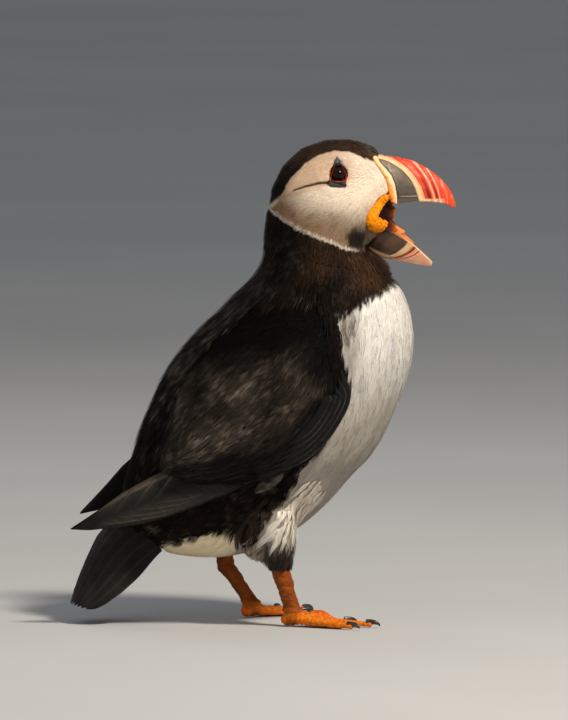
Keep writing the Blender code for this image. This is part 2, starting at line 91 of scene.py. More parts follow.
def mix(a, b, t):
    t = np.asarray(t)[..., None]
    return np.asarray(a) * (1 - t) + np.asarray(b) * t


def paint(colour, *layers):
    """Lays (colour, share) layers over a colour, one after another."""
    for over, share in layers:
        colour = mix(colour, over, share)
    return colour


def blur(values, reach):
    """A running mean over `reach` neighbours on each side."""
    width = 2 * reach + 1
    return np.convolve(np.pad(values, reach, "edge"), np.ones(width) / width, "valid")


HASH = np.array([374761393, 668265263, 2147483629])


def noise3(points, size, seed=0):
    """Smooth noise from -1 to 1 whose lumps are about `size` millimetres across."""
    q = np.asarray(points, float) / size + seed * 17.31
    cell = np.floor(q).astype(np.int64)
    f = q - cell
    f = f * f * (3 - 2 * f)
    total = np.zeros(q.shape[:-1])
    for corner in product((0, 1), repeat=3):
        h = (((cell + corner) * HASH).sum(-1) + seed * 1442695) & 0xFFFFFFFF
        h = ((h ^ (h >> 13)) * 1274126177) & 0xFFFFFFFF
        h = (h ^ (h >> 16)) & 0xFFFF
        wx, wy, wz = (f[..., k] if far else 1 - f[..., k] for k, far in enumerate(corner))
        total += h / 32767.5 * wx * wy * wz
    return total - 1.0


def cloud(points, size, seed):
    """The same noise from 0 to 1."""
    return 0.5 + 0.5 * noise3(points, size, seed)


def smooth_line(points, count, closed=False):
    """A smooth curve through some points, as `count` points."""
    points = np.asarray(points, float)
    n = len(points)
    if closed:
        at = np.arange(count) / count * n
        padded = points[np.arange(-1, n + 2) % n]
    else:
        at = np.linspace(0, n - 1 - 1e-6, count)
        padded = np.concatenate([2 * points[:1] - points[1:2], points, 2 * points[-1:] - points[-2:-1]])
    i = np.floor(at).astype(int)
    t = (at - i)[:, None]
    p0, p1, p2, p3 = (padded[i + k] for k in range(4))
    bend, twist = 2 * p0 - 5 * p1 + 4 * p2 - p3, 3 * p1 - p0 - 3 * p2 + p3
    return 0.5 * (2 * p1 + (p2 - p0) * t + bend * t**2 + twist * t**3)


def pieces_of(points, line):
    """For each piece of a line of (x, z) points: its direction and length, then for each point the
    share of the piece at which it is nearest, and its distance."""
    p = points[..., (0, 2)]
    line = np.asarray(line, float)
    for a, b in zip(line, line[1:]):
        step = b - a
        size = np.linalg.norm(step)
        t = np.clip(((p - a) @ step) / size**2, 0, 1)
        yield step / size, size, t, np.linalg.norm(p - a - t[..., None] * step, axis=-1)


def to_line(points, line):
    """Each point's distance to a line in side view, the line's heading there, and how far along it is."""
    best = np.full(points.shape[:-1], FAR)
    heading, along, run = np.zeros((*best.shape, 2)), np.zeros(best.shape), 0.0
    for way, size, t, gap in pieces_of(points, line):
        nearer = gap < best
        best = np.where(nearer, gap, best)
        heading = np.where(nearer[..., None], way, heading)
        along = np.where(nearer, run + t * size, along)
        run += size
    return best, heading, along / run


def soft_heading(points, line):
    """A line's heading at each point, averaged over its pieces by how near they are."""
    ways = [way * (size / (gap + 2.0) ** 4)[..., None] for way, size, _, gap in pieces_of(points, line)]
    return unit(sum(ways))


def inside(points, outline):
    """How far inside an (x, z) outline each point is, in side view. Outside is negative."""
    x, _, z = xyz(points)
    crossings = np.zeros(x.shape, int)
    for (ax, az), (bx, bz) in zip(outline, outline[1:] + outline[:1]):
        spans = (az > z) != (bz > z)
        with np.errstate(divide="ignore", invalid="ignore"):
            at = ax + (z - az) / (bz - az) * (bx - ax)
        crossings += spans & (x < at)
    gap, _, _ = to_line(points, outline + outline[:1])
    return np.where(crossings % 2 == 1, gap, -gap)


def ahead_of(p, line):
    """How far in front of a line of (x, z) points, listed from low to high, each point is."""
    return p[..., 0] - np.interp(p[..., 2], [v[1] for v in line], [v[0] for v in line])


# ---------------------------------------------------------------- markings and directions

# The pale face, from the nape over the eye to the bill and back along the cheek.
FACE = smooth_line([
    (1.8, 179.3), (4.6, 182), (8.2, 185.6), (12.9, 192.8), (20.2, 199.6), (28.8, 203.2), (37.4, 202.9),
    (43.9, 200.1), (48, 198.7), (60, 195), (60, 160), (43.9, 160.6), (36, 161.8), (28.8, 164.7),
    (15.9, 169.9), (7, 175),
], 64, closed=True).tolist()
# The white underparts, from the collar down behind the wing's edge to the flank and vent.
WHITE = [
    (60, 147.5), (55.9, 146.4), (43.9, 140.9), (32.3, 133.5), (33, 122), (30, 112), (31, 100), (29, 88),
    (22, 76), (16, 68.5), (13.5, 61), (10.5, 56.5), (3.5, 49), (-2.6, 41), (-7.6, 33.4), (-10.3, 41.5),
    (-14.2, 45), (-25, 40.2), (-35.7, 36.4), (-44, 33), (-44.5, 26), (-30, 0), (90, 0), (90, 147.5),
]
BILL_ROOT = (51.0, 193.0)
SPINE = [
    (40, 184), (26, 176), (27, 155), (24, 130), (12, 102), (-8, 74), (-32, 54), (-56, 40), (-74, 22),
    (-82, 6),
]
WING_LOW_EDGE = [
    (32.3, 124), (33.2, 118), (34.8, 111.7), (36.8, 104.5), (37.2, 99.5), (34.7, 92.5), (27.5, 81.5),
    (15.5, 71.3), (2, 65.8), (-12, 63.2), (-25.5, 62.2), (-36.5, 63), (-46, 62),
]
WING_TOP_EDGE = [
    (32, 127), (29, 137), (23, 142.5), (11.5, 145), (-2.5, 140.5), (-15.5, 131), (-28, 118), (-38.5, 99),
    (-44, 82), (-48, 68),
]
WING_AXIS = (-0.74, -0.67)
CREASE = [(28.0, 190.4), (23.5, 190.0), (18.0, 188.6), (12.3, 186.6)]
# Where the feathers end at the bill, from the chin up to the forehead.
BILL_EDGE = [
    (43.4, 159), (44, 160.8), (45.1, 162.4), (46.7, 164.1), (48.6, 166), (50.8, 168.2), (52.8, 170.2),
    (54.5, 175), (54.5, 181), (54.1, 185.5), (53.5, 188.5), (52.2, 191.6), (50.1, 195), (47.7, 198.2),
    (46.3, 201.2), (46, 206),
]
EYE_X, EYE_Z = 32.4, 193.9

BLACK = (0.0024, 0.0020, 0.0018)
BROWN_BLACK = (0.036, 0.0195, 0.0105)
THROAT_BROWN = (0.072, 0.034, 0.016)
SPECK = (0.090, 0.073, 0.060)
BROW = (0.075, 0.058, 0.046)
BROWN_GREY = (0.165, 0.127, 0.098)
WHITE_COAT = (0.90, 0.86, 0.80)
# Mostly painted shade on the belly and flank, with a little of their own greige.
SHADED_BELLY_COAT = (0.37, 0.325, 0.26)
VENT_COAT = (0.95, 0.80, 0.56)
# Greys of the painted shade beside the wing, of the real grey spots and of the painted shade in patches.
COAT_SHADE_AND_SPOT_GREYS = ((0.33, 0.285, 0.245), (0.105, 0.085, 0.074), (0.50, 0.49, 0.49))
TROUSERS = (0.024, 0.0145, 0.008)
TROUSERS_BACK = (0.42, 0.34, 0.26)
FACE_TOP = (0.76, 0.54, 0.375)
FACE_MIDDLE = (0.95, 0.80, 0.64)
# The face's own browner low tone, also painted as shade on the lower and rear cheek.
FACE_LOW_TONE_AND_SHADE = (0.190, 0.104, 0.049)
FACE_EDGE = (0.80, 0.70, 0.58)
CHIN = (0.007, 0.0040, 0.0022)
CHIN_FRONT = (0.40, 0.30, 0.21)
# Painted shade for the crease behind the eye.
CREASE_SHADE = (0.022, 0.016, 0.012)
SOCKET = (0.006, 0.004, 0.004)
# Painted shade for the seam where the face's feathers meet the bill.
BILL_SEAM_SHADE = (0.060, 0.030, 0.018)
SLATE = (0.105, 0.080, 0.064)
PALE_RIDGE = (0.95, 0.60, 0.33)
RED = (0.90, 0.060, 0.018)
DARK_RED = (0.13, 0.006, 0.004)
PALE_PINK = (0.94, 0.42, 0.26)
ORANGE = (0.90, 0.22, 0.018)


def faceness(points):
    """1 on the pale face, 0 off it. The dark chin parts the two cheeks below the bill."""
    side = ease(-0.45, 0.45, inside(points, FACE) + 0.35 * noise3(points, 1.6, 3))
    chin = ease(3.0, 7.0, np.abs(points[..., 1]))
    return side * (1 - ease(176.0, 168.0, points[..., 2]) * (1 - chin))


def whiteness(points):
    """1 on the white underparts, 0 on black."""
    ragged = 0.9 * noise3(points, 4.0, 5) + 0.6 * noise3(points, 1.8, 6)
    return ease(-0.9, 0.9, inside(points, WHITE) + ragged)


def face_colour(p):
    """Grey above the eye, near white below it, brown towards the throat, with a pale lower rim. Painted shade
    darkens the lower cheek and the rear of the face over their own browner tone.
    """
    x, y, z = xyz(p)
    level = z - 0.24 * (x - 12.0) - 184.6 + 1.2 * noise3(p, 7.0, 7)
    cheek = ease(186.0, 168.0, z - 0.165 * (34 - x) * ease(34.0, 24.0, x) + 2.5 * noise3(p, 9.0, 8))
    rear = ease(22.0, 6.0, x) * 0.55 * ease(190, 184, z)
    streaks = noise3(np.stack([(x + z) * 0.18, y * 0.4, (x - z) * 1.5], -1), 1.0, 9)
    chin = np.hypot((x - 40.2 - 0.25 * (z - 166)) / 4.9, (z - 165.2) / 7.6) + 0.25 * noise3(p, 3.0, 29)
    rim = ease(2.2, 0.7, inside(p, FACE)) * ease(184.0, 180.0, z) * ease(44.0, 36.0, x)
    gap, _, along = to_line(p, CREASE)
    crease = ease(0.85, 0.3, gap + 0.22 * along) * ease(1.01, 0.93, along)
    return paint(
        FACE_MIDDLE,
        (FACE_TOP, ease(-0.6, 1.2, level) * ease(45.0, 33.0, x + 0.4 * (z - 192))),
        # Painted shade over the face's own browner tone: the lower cheek and the rear of the face darken.
        (FACE_LOW_TONE_AND_SHADE, np.clip(cheek * 0.92 + rear, 0, 0.94)),
        (FACE_LOW_TONE_AND_SHADE, ease(0.15, 0.7, streaks) * ease(184.0, 176.0, z) * 0.5),
        (CHIN_FRONT, ease(41.5, 44.5, x) * ease(174.0, 168.5, z) * 0.85),
        (CHIN, ease(1.25, 0.55, chin) * 0.96),
        (FACE_EDGE, rim * 0.9),
        # Painted shade along the crease behind the eye.
        (CREASE_SHADE, crease * 0.95),
        (SOCKET, ease(3.5, 3.0, np.hypot(x - EYE_X, (z - EYE_Z) * 0.8))),
    )


def black_colour(p):
    """Black with a brown bloom on the crown and the throat, and pale specks on the back."""
    x, y, z = xyz(p)
    bloom = cloud(p, 9.0, 11)
    fine = ease(0.25, 0.75, cloud(p, 2.4, 12))
    crown = ease(188.0, 202.0, z)
    throat = ease(28.0, 45.0, x) * ease(128.0, 150.0, z)
    throat = np.maximum(throat, ease(10.0, 34.0, x) * ease(146.0, 156.0, z))
    brown = (0.15 + 0.85 * bloom * fine) * (0.35 + 0.65 * np.maximum(crown, throat)) + 0.3 * crown
    mantle = ease(30.0, 12.0, x) * ease(70.0, 100.0, z)
    specks = noise3(p * (0.6, 1, 1), 1.3, 13) + 0.35 * noise3(p, 8.0, 10) + 0.30 * mantle
    specks = ease(0.3, 1.0, specks) * (0.75 - 0.5 * ease(128.0, 142.0, z)) * ease(170.0, 160.0, z)
    brow = ease(38.0, 46.0, x) * ease(200.0, 204.0, z) * ease(7.0, 3.0, np.abs(y))
    return paint(
        BLACK,
        (BROWN_BLACK, np.clip(brown, 0, 1)),
        (THROAT_BROWN, throat * bloom * 0.75),
        (SPECK, specks),
        (BROW, brow * (0.3 + 0.7 * fine)),
    )


def white_colour(p):
    """Clean white on the breast, greyed by painted shade on the belly and flank, beside the wing's front edge
    and in patches, with grey spots, cream at the vent and brown on the trousers.
    """
    x, _, z = xyz(p)
    # Painted shade: the belly and the flank under the body grow darker and greyer, over a little of their own
    # greige.
    belly_shade = ease(122.0, 66.0, z - 0.55 * (x - 30) + 7 * noise3(p, 14.0, 14)) ** 0.85
    # Painted shade: a grey band down the breast beside the wing's front edge.
    wing_side_shade = ease(46.0, 37.5, x + 1.5 * noise3(p, 5.0, 20)) * ease(100.0, 114.0, z) * ease(142.0, 134.0, z)
    spots = ease(5.2, 1.5, np.hypot(x - 36.6, (z - 130.5) * 0.6)) * ease(-0.5, 0.2, noise3(p, 2.2, 15))
    # Painted shade: grey patches in upright bands over the breast.
    shade = ease(0.2, 0.8, noise3(p * (1, 1, 0.45), 8.0, 16)) * ease(60, 90, z)
    trousers = mix(TROUSERS_BACK, TROUSERS, ease(-4.0, 3.0, x + 1.5 * noise3(p, 2.0, 19)))
    wing_side_shade_grey, spot_grey, patchy_shade_grey = COAT_SHADE_AND_SPOT_GREYS
    return paint(
        WHITE_COAT,
        (SHADED_BELLY_COAT, belly_shade * 0.9),
        (VENT_COAT, ease(-4.0, -16.0, x)),
        (wing_side_shade_grey, wing_side_shade * (0.74 + 0.26 * noise3(p * (1, 1, 0.3), 1.6, 40))),
        (spot_grey, spots * 0.9),
        (patchy_shade_grey, shade * 0.62),
        (trousers, ease(40.5, 35.0, z + 2.0 * noise3(p, 3.0, 17)) * ease(-13.0, -8.0, x)),
    )


def body_colour(p):
    """The marking at each point of the head and body, with the painted shade of the face, the white parts and
    the seam at the bill.
    """
    z = p[..., 2]
    # Painted shade: the skin just ahead of the feathers' edge at the bill is darkened like a shaded seam.
    bill_seam_shade = ease(0.45, 0.8, ahead_of(p, BILL_EDGE)) * ease(158.0, 160.0, z) * ease(200.0, 198.5, z)
    return paint(
        black_colour(p),
        (white_colour(p), whiteness(p) * ease(150.0, 148.0, z)),
        (face_colour(p), faceness(p)),
        (BILL_SEAM_SHADE, bill_seam_shade),
    )


def wing_colour(p):
    """Black at the shoulder, with a brown-grey bloom over the middle and the rear of the wing."""
    x, y, z = xyz(p)
    along, across = x * WING_AXIS[0] + z * WING_AXIS[1], x * WING_AXIS[1] - z * WING_AXIS[0]
    bloom = cloud(p, 10.0, 31)
    streaks = noise3(np.stack([along * 0.42, across * 1.25, y * 0.2], -1), 1.0, 32)
    mottle = ease(0.0, 0.7, streaks + 0.5 * noise3(p, 4.0, 33))
    low = to_line(p, WING_LOW_EDGE)[0] + 14 * ease(-5.0, -22.0, x)
    zone = ease(126.0, 100.0, z - 0.2 * x) * (0.15 + 0.85 * ease(6.0, 23.0, low))
    return mix(BLACK, BROWN_GREY, np.clip((0.38 * bloom + 0.85 * mottle * bloom) * zone, 0, 1))


def wing_edge_colour(p):
    return mix((0.0045, 0.004, 0.004), (0.012, 0.010, 0.009), cloud(p, 5.0, 34))


def body_flow(points):
    """Which way the feathers lie: away from the bill on the head, then down and back to the tail."""
    x, y, z = xyz(points)
    head = unit(points[..., (0, 2)] - np.array(BILL_ROOT))
    share = ease(158.0, 176.0, z)
    leg = ease(50.0, 38.0, z) * ease(-22.0, -14.0, x) * ease(8, 13, np.abs(y))
    flat = unit(mix(unit(mix(soft_heading(points, SPINE), head, share)), (-0.12, -1.0), leg))
    side = 0.35 * ease(46.0, 30.0, x) * share
    return from_side(flat, np.sign(y) * side * ease(0.0, 12.0, np.abs(y)))


def wing_flow(points):
    """Along the wing, curving round with its two edges."""
    low, low_heading, _ = to_line(points, WING_LOW_EDGE)
    top, top_heading, _ = to_line(points, WING_TOP_EDGE)
    low_share = np.exp(-low / 9.0)[..., None] * 1.6
    top_share = np.exp(-top / 7.0)[..., None] * 0.8
    flat = unit(low_heading * low_share + top_heading * top_share + np.array(WING_AXIS) * 0.55)
    return from_side(flat, 0.0)


# ---------------------------------------------------------------- meshes


class Surface:
    """Triangles and quads in millimetres, with what the coat asks of them."""

    def __init__(self, verts, faces):
        self.verts = np.asarray(verts, float)
        self.faces = faces
        self.tree = BVHTree.FromPolygons([Vector(v) for v in self.verts], [tuple(f) for f in faces])

    def nearest(self, points):
        """The nearest place on the surface to each point, and the outward direction there."""
        flat = points.reshape(-1, 3)
        places, normals = np.empty(flat.shape), np.empty(flat.shape)
        for i, p in enumerate(flat):
            places[i], normals[i], _, _ = self.tree.find_nearest(p)
        return places.reshape(points.shape), normals.reshape(points.shape)

    def seen_at(self, x, z, sign, start, reach):
        """The surface's y at (x, z), seen from `start` out on one side and `reach` deep, or None."""
        hit = self.tree.ray_cast(Vector((x, sign * start, z)), Vector((0.0, -sign, 0.0)), reach)[0]
        return None if hit is None else hit[1]


def mesh_arrays(mesh):
    verts = np.empty(len(mesh.vertices) * 3)
    mesh.vertices.foreach_get("co", verts)
    return verts.reshape(-1, 3), [tuple(f.vertices) for f in mesh.polygons]


def vertex_normals(verts, faces):
    """Outward direction at each point, from the faces round it."""
    normals = np.zeros(verts.shape)
    corners = np.array([(f[0], f[1], f[2], f[3] if len(f) > 3 else f[0]) for f in faces])
    cross = np.cross(verts[corners[:, 2]] - verts[corners[:, 0]], verts[corners[:, 3]] - verts[corners[:, 1]])
    for k in range(4):
        np.add.at(normals, corners[:, k], cross)
    return unit(normals)


def taken(part, place):
    """The points of a bmesh, each set by `place`, and its faces."""
    verts = np.array([place(v) for v in part.verts])
    faces = [tuple(v.index for v in f.verts) for f in part.faces]
    part.free()
    return verts, faces


def node_shape(name, grow):
    """A CAD node's points in millimetres, swollen by `grow`, and its faces."""
    part = bmesh.new()
    part.from_mesh(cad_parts[name].data)
    bmesh.ops.remove_doubles(part, verts=part.verts, dist=1e-6)
    part.normal_update()
    return taken(part, lambda v: v.co / MM + v.normal * grow)


def ball(centre, radii):
    """An ellipsoid, as points and faces."""
    part = bmesh.new()
    bmesh.ops.create_icosphere(part, subdivisions=3, radius=1.0)
    verts, faces = taken(part, lambda v: v.co)
    return verts * radii + centre, faces


def grid_quads(rows, columns):
    index = np.arange(rows * columns).reshape(rows, columns)
    return np.stack([index[:-1, :-1], index[:-1, 1:], index[1:, 1:], index[1:, :-1]], -1).reshape(-1, 4)


def slab(top, bottom):
    """A closed sheet between two grids of points."""
    rows, columns = top.shape[:2]
    index = np.arange(rows * columns).reshape(rows, columns)
    quads = grid_quads(rows, columns)
    faces = [tuple(q) for q in quads] + [tuple(q) for q in (quads + index.size)[:, ::-1]]
    rim = list(index[0, :-1]) + list(index[:-1, -1]) + list(index[-1, :0:-1]) + list(index[:0:-1, 0])
    faces += [(b, a, a + index.size, b + index.size) for a, b in zip(rim, rim[1:] + rim[:1])]
    return np.concatenate([top.reshape(-1, 3), bottom.reshape(-1, 3)]), faces


def tube(centres, radii, up, sides, closed):
    """Points and faces of a tube along `centres`, whose section starts at the `up` side."""
    n = len(centres)
    ahead = np.roll(centres, -1, 0) - np.roll(centres, 1, 0)
    if not closed:
        ahead[0], ahead[-1] = centres[1] - centres[0], centres[-1] - centres[-2]
    ahead = unit(ahead)
    ups = unit(up - (up * ahead).sum(-1, keepdims=True) * ahead)
    across = np.cross(ahead, ups)
    angle = np.linspace(0, 2 * math.pi, sides, endpoint=False)[None, :, None]
    ring = ups[:, None] * np.cos(angle) + across[:, None] * np.sin(angle)
    verts = (centres[:, None] + ring * np.broadcast_to(radii, n)[:, None, None]).reshape(-1, 3)
    faces = []
    for r in range(n if closed else n - 1):
        a, b = r * sides, ((r + 1) % n) * sides
        faces += [(a + k, a + (k + 1) % sides, b + (k + 1) % sides, b + k) for k in range(sides)]
    if not closed:
        faces += [tuple(range(sides))[::-1], tuple(range((n - 1) * sides, n * sides))]
    return verts, faces


def join(shapes):
    """Several (points, faces) shapes as one."""
    start, verts, faces = 0, [], []
    for v, f in shapes:
        verts.append(v)
        faces += [tuple(int(i) + start for i in face) for face in f]
        start += len(v)
    return np.concatenate(verts), faces


def fuse(names, voxel, grow, smooth, extra=()):
    """One closed mesh round some CAD nodes, swollen by `grow` so that the gaps between them close."""
    verts, faces = join([node_shape(name, grow) for name in names] + list(extra))
    scratch = bpy.data.meshes.new("scratch")
    scratch.from_pydata(verts.tolist(), [], faces)
    obj = bpy.data.objects.new("scratch", scratch)
    bpy.context.scene.collection.objects.link(obj)
    remesh = obj.modifiers.new("remesh", "REMESH")
    remesh.mode = "VOXEL"
    remesh.voxel_size = voxel
    soften = obj.modifiers.new("soften", "SMOOTH")
    soften.factor = 0.5
    soften.iterations = smooth
    done = bpy.data.meshes.new_from_object(obj.evaluated_get(bpy.context.evaluated_depsgraph_get()))
    shape = mesh_arrays(done)
    bpy.data.objects.remove(obj)
    bpy.data.meshes.remove(scratch)
    bpy.data.meshes.remove(done)
    return shape


def fill_grooves(verts, faces, rounds, share):
    """Raises the grooves of a mesh to a smoothed copy of it and leaves its ridges, by `share`."""
    edges = np.array([(f[k], f[(k + 1) % len(f)]) for f in faces for k in range(len(f))])
    count = np.bincount(edges.ravel(), minlength=len(verts))
    ends = (edges.T, edges.T[::-1])

    def mean_of_neighbours(values):
        return sum(np.bincount(here, values[there], len(verts)) for here, there in ends) / count

    soft = verts.T
    for _ in range(rounds):
        soft = [mean_of_neighbours(values) for values in soft]
    normals = vertex_normals(verts, faces)
    rise = np.maximum(((np.stack(soft, -1) - verts) * normals).sum(-1), 0) * share
    return verts + normals * rise[:, None]


def add_mesh(name, verts, faces, material, slot, tint, uvs=None, replaces=()):
    """A piece of the model from points in millimetres, with a colour for each point."""
    mesh = bpy.data.meshes.new(name)
    sizes = [len(f) for f in faces]
    loops = np.concatenate([np.asarray(f) for f in faces])
    mesh.vertices.add(len(verts))
    mesh.vertices.foreach_set("co", (np.asarray(verts, np.float32) * MM).ravel())
    mesh.loops.add(len(loops))
    mesh.loops.foreach_set("vertex_index", loops.astype(np.int32))
    mesh.polygons.add(len(sizes))
    mesh.polygons.foreach_set("loop_start", np.concatenate([[0], np.cumsum(sizes)[:-1]]).astype(np.int32))
    mesh.polygons.foreach_set("use_smooth", np.ones(len(sizes), bool))
    colours = np.ones((len(verts), 4), np.float32)
    colours[:, :3] = tint
    mesh.color_attributes.new("tint", "FLOAT_COLOR", "POINT").data.foreach_set("color", colours.ravel())
    for uv_name, uv in (uvs or {}).items():
        mesh.uv_layers.new(name=uv_name).data.foreach_set("uv", np.asarray(uv, np.float32)[loops].ravel())
    mesh.update()
    mesh.validate()
    mesh.materials.append(material)
    obj = bpy.data.objects.new(name, mesh)
    bpy.context.scene.collection.objects.link(obj)
    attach(obj, "root")
    if replaces:
        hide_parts(*replaces)
    return obj


# ---------------------------------------------------------------- materials


class Nodes:
    """A small helper for node trees."""

    def __init__(self, name):
        self.material = bpy.data.materials.new(name)
        self.material.use_nodes = True
        self.tree = self.material.node_tree
        self.shader = self.tree.nodes["Principled BSDF"]

    def add(self, kind, **values):
        node = self.tree.nodes.new(kind)
        for key, value in values.items():
            if key in node.inputs:
                node.inputs[key].default_value = value
            else:
                setattr(node, key, value)
        return node

    def link(self, out, into):
        self.tree.links.new(out, into)

    def tint(self):
        return self.add("ShaderNodeVertexColor", layer_name="tint").outputs["Color"]

    def places(self):
        return self.add("ShaderNodeTexCoord").outputs["Object"]

    def noise(self, scale, detail, stretch=None):
        """Noise whose lumps are 1/scale of a metre, or with `stretch` along and across each vane."""
        node = self.add("ShaderNodeTexNoise", Scale=scale, Detail=detail)
        if stretch:
            mapping = self.add("ShaderNodeMapping", Scale=stretch)
            self.link(self.add("ShaderNodeUVMap", uv_map="vane").outputs["UV"], mapping.inputs["Vector"])
        self.link(mapping.outputs["Vector"] if stretch else self.places(), node.inputs["Vector"])
        return node.outputs["Fac"]

    def ramp(self, value, stops):
        """Grey levels from a value, by two (place, level) stops."""
        node = self.add("ShaderNodeValToRGB")
        for element, (place, level) in zip(node.color_ramp.elements, stops):
            element.position = place
            element.color = (level, level, level, 1)
        self.link(value, node.inputs["Fac"])
        return node.outputs["Color"]

    def multiply(self, a, b, share=1.0):
        node = self.add("ShaderNodeMix", data_type="RGBA", blend_type="MULTIPLY")
        node.inputs["Factor"].default_value = share
        self.link(a, node.inputs["A"])
        self.link(b, node.inputs["B"])
        return node.outputs["Result"]

    def bump(self, height, strength, distance, before=None):
        node = self.add("ShaderNodeBump", Strength=strength, Distance=distance)
        self.link(height, node.inputs["Height"])
        if before:
            self.link(before, node.inputs["Normal"])
        return node.outputs["Normal"]

    def finish(self, colour, normal=None, **values):
        self.link(colour, self.shader.inputs["Base Color"])
        if normal:
            self.link(normal, self.shader.inputs["Normal"])
        for key, value in values.items():
            self.shader.inputs[key.replace("_", " ")].default_value = value
        return self.material


def grained(name, noise, stops, bump=None, **values):
    """The piece's own colours, varied by one noise that can raise the surface too."""
    n = Nodes(name)
    grain = n.noise(*noise)
    colour = n.multiply(n.tint(), n.ramp(grain, stops))
    return n.finish(colour, n.bump(grain, *bump) if bump else None, **values)


# The streaks, roughness, specular level and sheen of the feathers in each slot.
PLUMAGES = {
    "black_plumage": ("black_feathers", 0.35, 0.75, 0.05, 0.0),
    "white_plumage": ("white_feathers", 0.05, 0.7, 0.2, 0.08),
    "face_plumage": ("face_feathers", 0.08, 0.8, 0.08, 0.05),
}


@cache
def plumage(slot):
    """Feathers, with the fine lines of barbs along each vane."""
    name, streak, roughness, specular, sheen = PLUMAGES[slot]
    return grained(
        name, (1.0, 3.0, (9.0, 1.6, 1.0)), [(0.3, 1.0 - streak), (0.72, 1.0 + streak * 0.9)], (0.35, 0.0003),
        Roughness=roughness, Specular_IOR_Level=specular, Sheen_Weight=sheen, Sheen_Roughness=0.5,
    )


@cache
def flight_feathers():
    return grained(
        "flight_feathers", (1.0, 2.0, (11.0, 1.0, 1.0)), [(0.3, 0.70), (0.7, 1.35)], (0.3, 0.0003),
        Roughness=0.6, Specular_IOR_Level=0.14,
    )


@cache
def flesh(name, roughness):
    """Wrinkled bare flesh of the gape, the mouth and round the eyes."""
    return grained(
        name, (700.0, 4.0), [(0.3, 0.82), (0.7, 1.1)], (0.5, 0.0004),
        Roughness=roughness, Subsurface_Weight=0.05, Subsurface_Scale=0.002, Specular_IOR_Level=0.12,
    )


@cache
def eye_dark():
    return grained(
        "eye_dark", (2600.0, 3.0), [(0.3, 0.75), (0.7, 1.2)],
        Roughness=0.08, Specular_IOR_Level=0.15, Coat_Weight=0.08, Coat_Roughness=0.02,
    )


def skin_material():
    """Feathered skin under the coat and bare skin on the legs, told apart by their colours."""
    n = Nodes("skin")
    grain = n.noise(900.0, 5.0)
    pores = n.add("ShaderNodeTexVoronoi", Scale=1500.0, feature="DISTANCE_TO_EDGE")
    n.link(n.places(), pores.inputs["Vector"])
    cells = n.ramp(pores.outputs["Distance"], [(0.0, 0.6), (0.14, 1.0)])
    colour = n.multiply(n.multiply(n.tint(), n.ramp(grain, [(0.3, 0.85), (0.7, 1.12)])), cells, 0.4)
    normal = n.bump(cells, 0.5, 0.00035, n.bump(grain, 0.4, 0.0003))
    return n.finish(colour, normal, Roughness=0.55, Specular_IOR_Level=0.14)


def horn(name, roughness, grain_scale=500.0, grain=0.12, coat=0.0):
    """Bill, plates and claws: the piece's own colours with a fine grain and light wear."""
    n = Nodes(name)
    speck, broad = n.noise(grain_scale, 6.0), n.noise(grain_scale * 0.25, 3.0)
    colour = n.multiply(n.tint(), n.ramp(speck, [(0.25, 1.0 - grain), (0.75, 1.0 + grain)]))
    colour = n.multiply(colour, n.ramp(broad, [(0.3, 0.9), (0.7, 1.06)]))
    return n.finish(
        colour, n.bump(speck, 0.25, 0.0002),
        Roughness=roughness, Specular_IOR_Level=0.32, Coat_Weight=coat, Coat_Roughness=0.25,
    )


# ---------------------------------------------------------------- feathers

TRIES = 5  # random places per place that scatter can keep


def scatter(surface, spacing, keep, seed):
    """Places spread evenly over a surface, about `spacing` apart, where `keep` is true."""
    rng = np.random.default_rng(seed)
    tris = []
    for f in surface.faces:
        tris.append(f[:3])
        if len(f) == 4:
            tris.append((f[0], f[2], f[3]))
    a, b, c = (surface.verts[corner] for corner in np.array(tris).T)
    cross = np.cross(b - a, c - a)
    area = np.where(keep((a + b + c) / 3, unit(cross)), np.linalg.norm(cross, axis=1) / 2, 0.0)
    count = int(area.sum() / spacing**2 * TRIES)
    picked = rng.choice(len(tris), size=count, p=area / area.sum())
    r1, r2 = np.sqrt(rng.random(count))[:, None], rng.random(count)[:, None]
    points = a[picked] * (1 - r1) + b[picked] * (r1 * (1 - r2)) + c[picked] * (r1 * r2)
    normals = unit(cross[picked])
    wanted = keep(points, normals)
    points, normals = points[wanted], normals[wanted]
    cells, kept = {}, []
    for i, p in enumerate(points):
        cx, cy, cz = (int(v) for v in np.floor(p / spacing))
        near = (
            q
            for dx, dy, dz in product((-1, 0, 1), repeat=3)
            for q in cells.get((cx + dx, cy + dy, cz + dz), ())
        )
        if all((p[0] - q[0]) ** 2 + (p[1] - q[1]) ** 2 + (p[2] - q[2]) ** 2 > spacing**2 for q in near):
            cells.setdefault((cx, cy, cz), []).append(p)
            kept.append(i)
    return points[kept], normals[kept]


def unwrap(points):
    """Each point's place on the body's own unwrap: along the spine, and round it."""
    _, heading, along = to_line(points, SPINE)
    line = np.asarray(SPINE, float)
    lengths = np.concatenate([[0], np.cumsum(np.linalg.norm(np.diff(line, axis=0), axis=1))])
    foot = np.stack([np.interp(along * lengths[-1], lengths, line[:, k]) for k in range(2)], axis=-1)
    normal = np.stack([-heading[..., 1], heading[..., 0]], axis=-1)
    angle = np.arctan2(points[..., 1], ((points[..., (0, 2)] - foot) * normal).sum(-1))
    return np.stack([0.02 + 0.96 * along, 0.5 + 0.48 * angle / math.pi], axis=-1)


PATCH = 0.003  # a vane's length on the unwrap


def bake_places(roots, s, t):
    """UVs of vanes on the body's unwrap, each a small patch at its root."""
    return unwrap(roots) + PATCH * np.stack([s - 0.5, 0.5 * np.clip(t, -1, 1)], axis=-1)


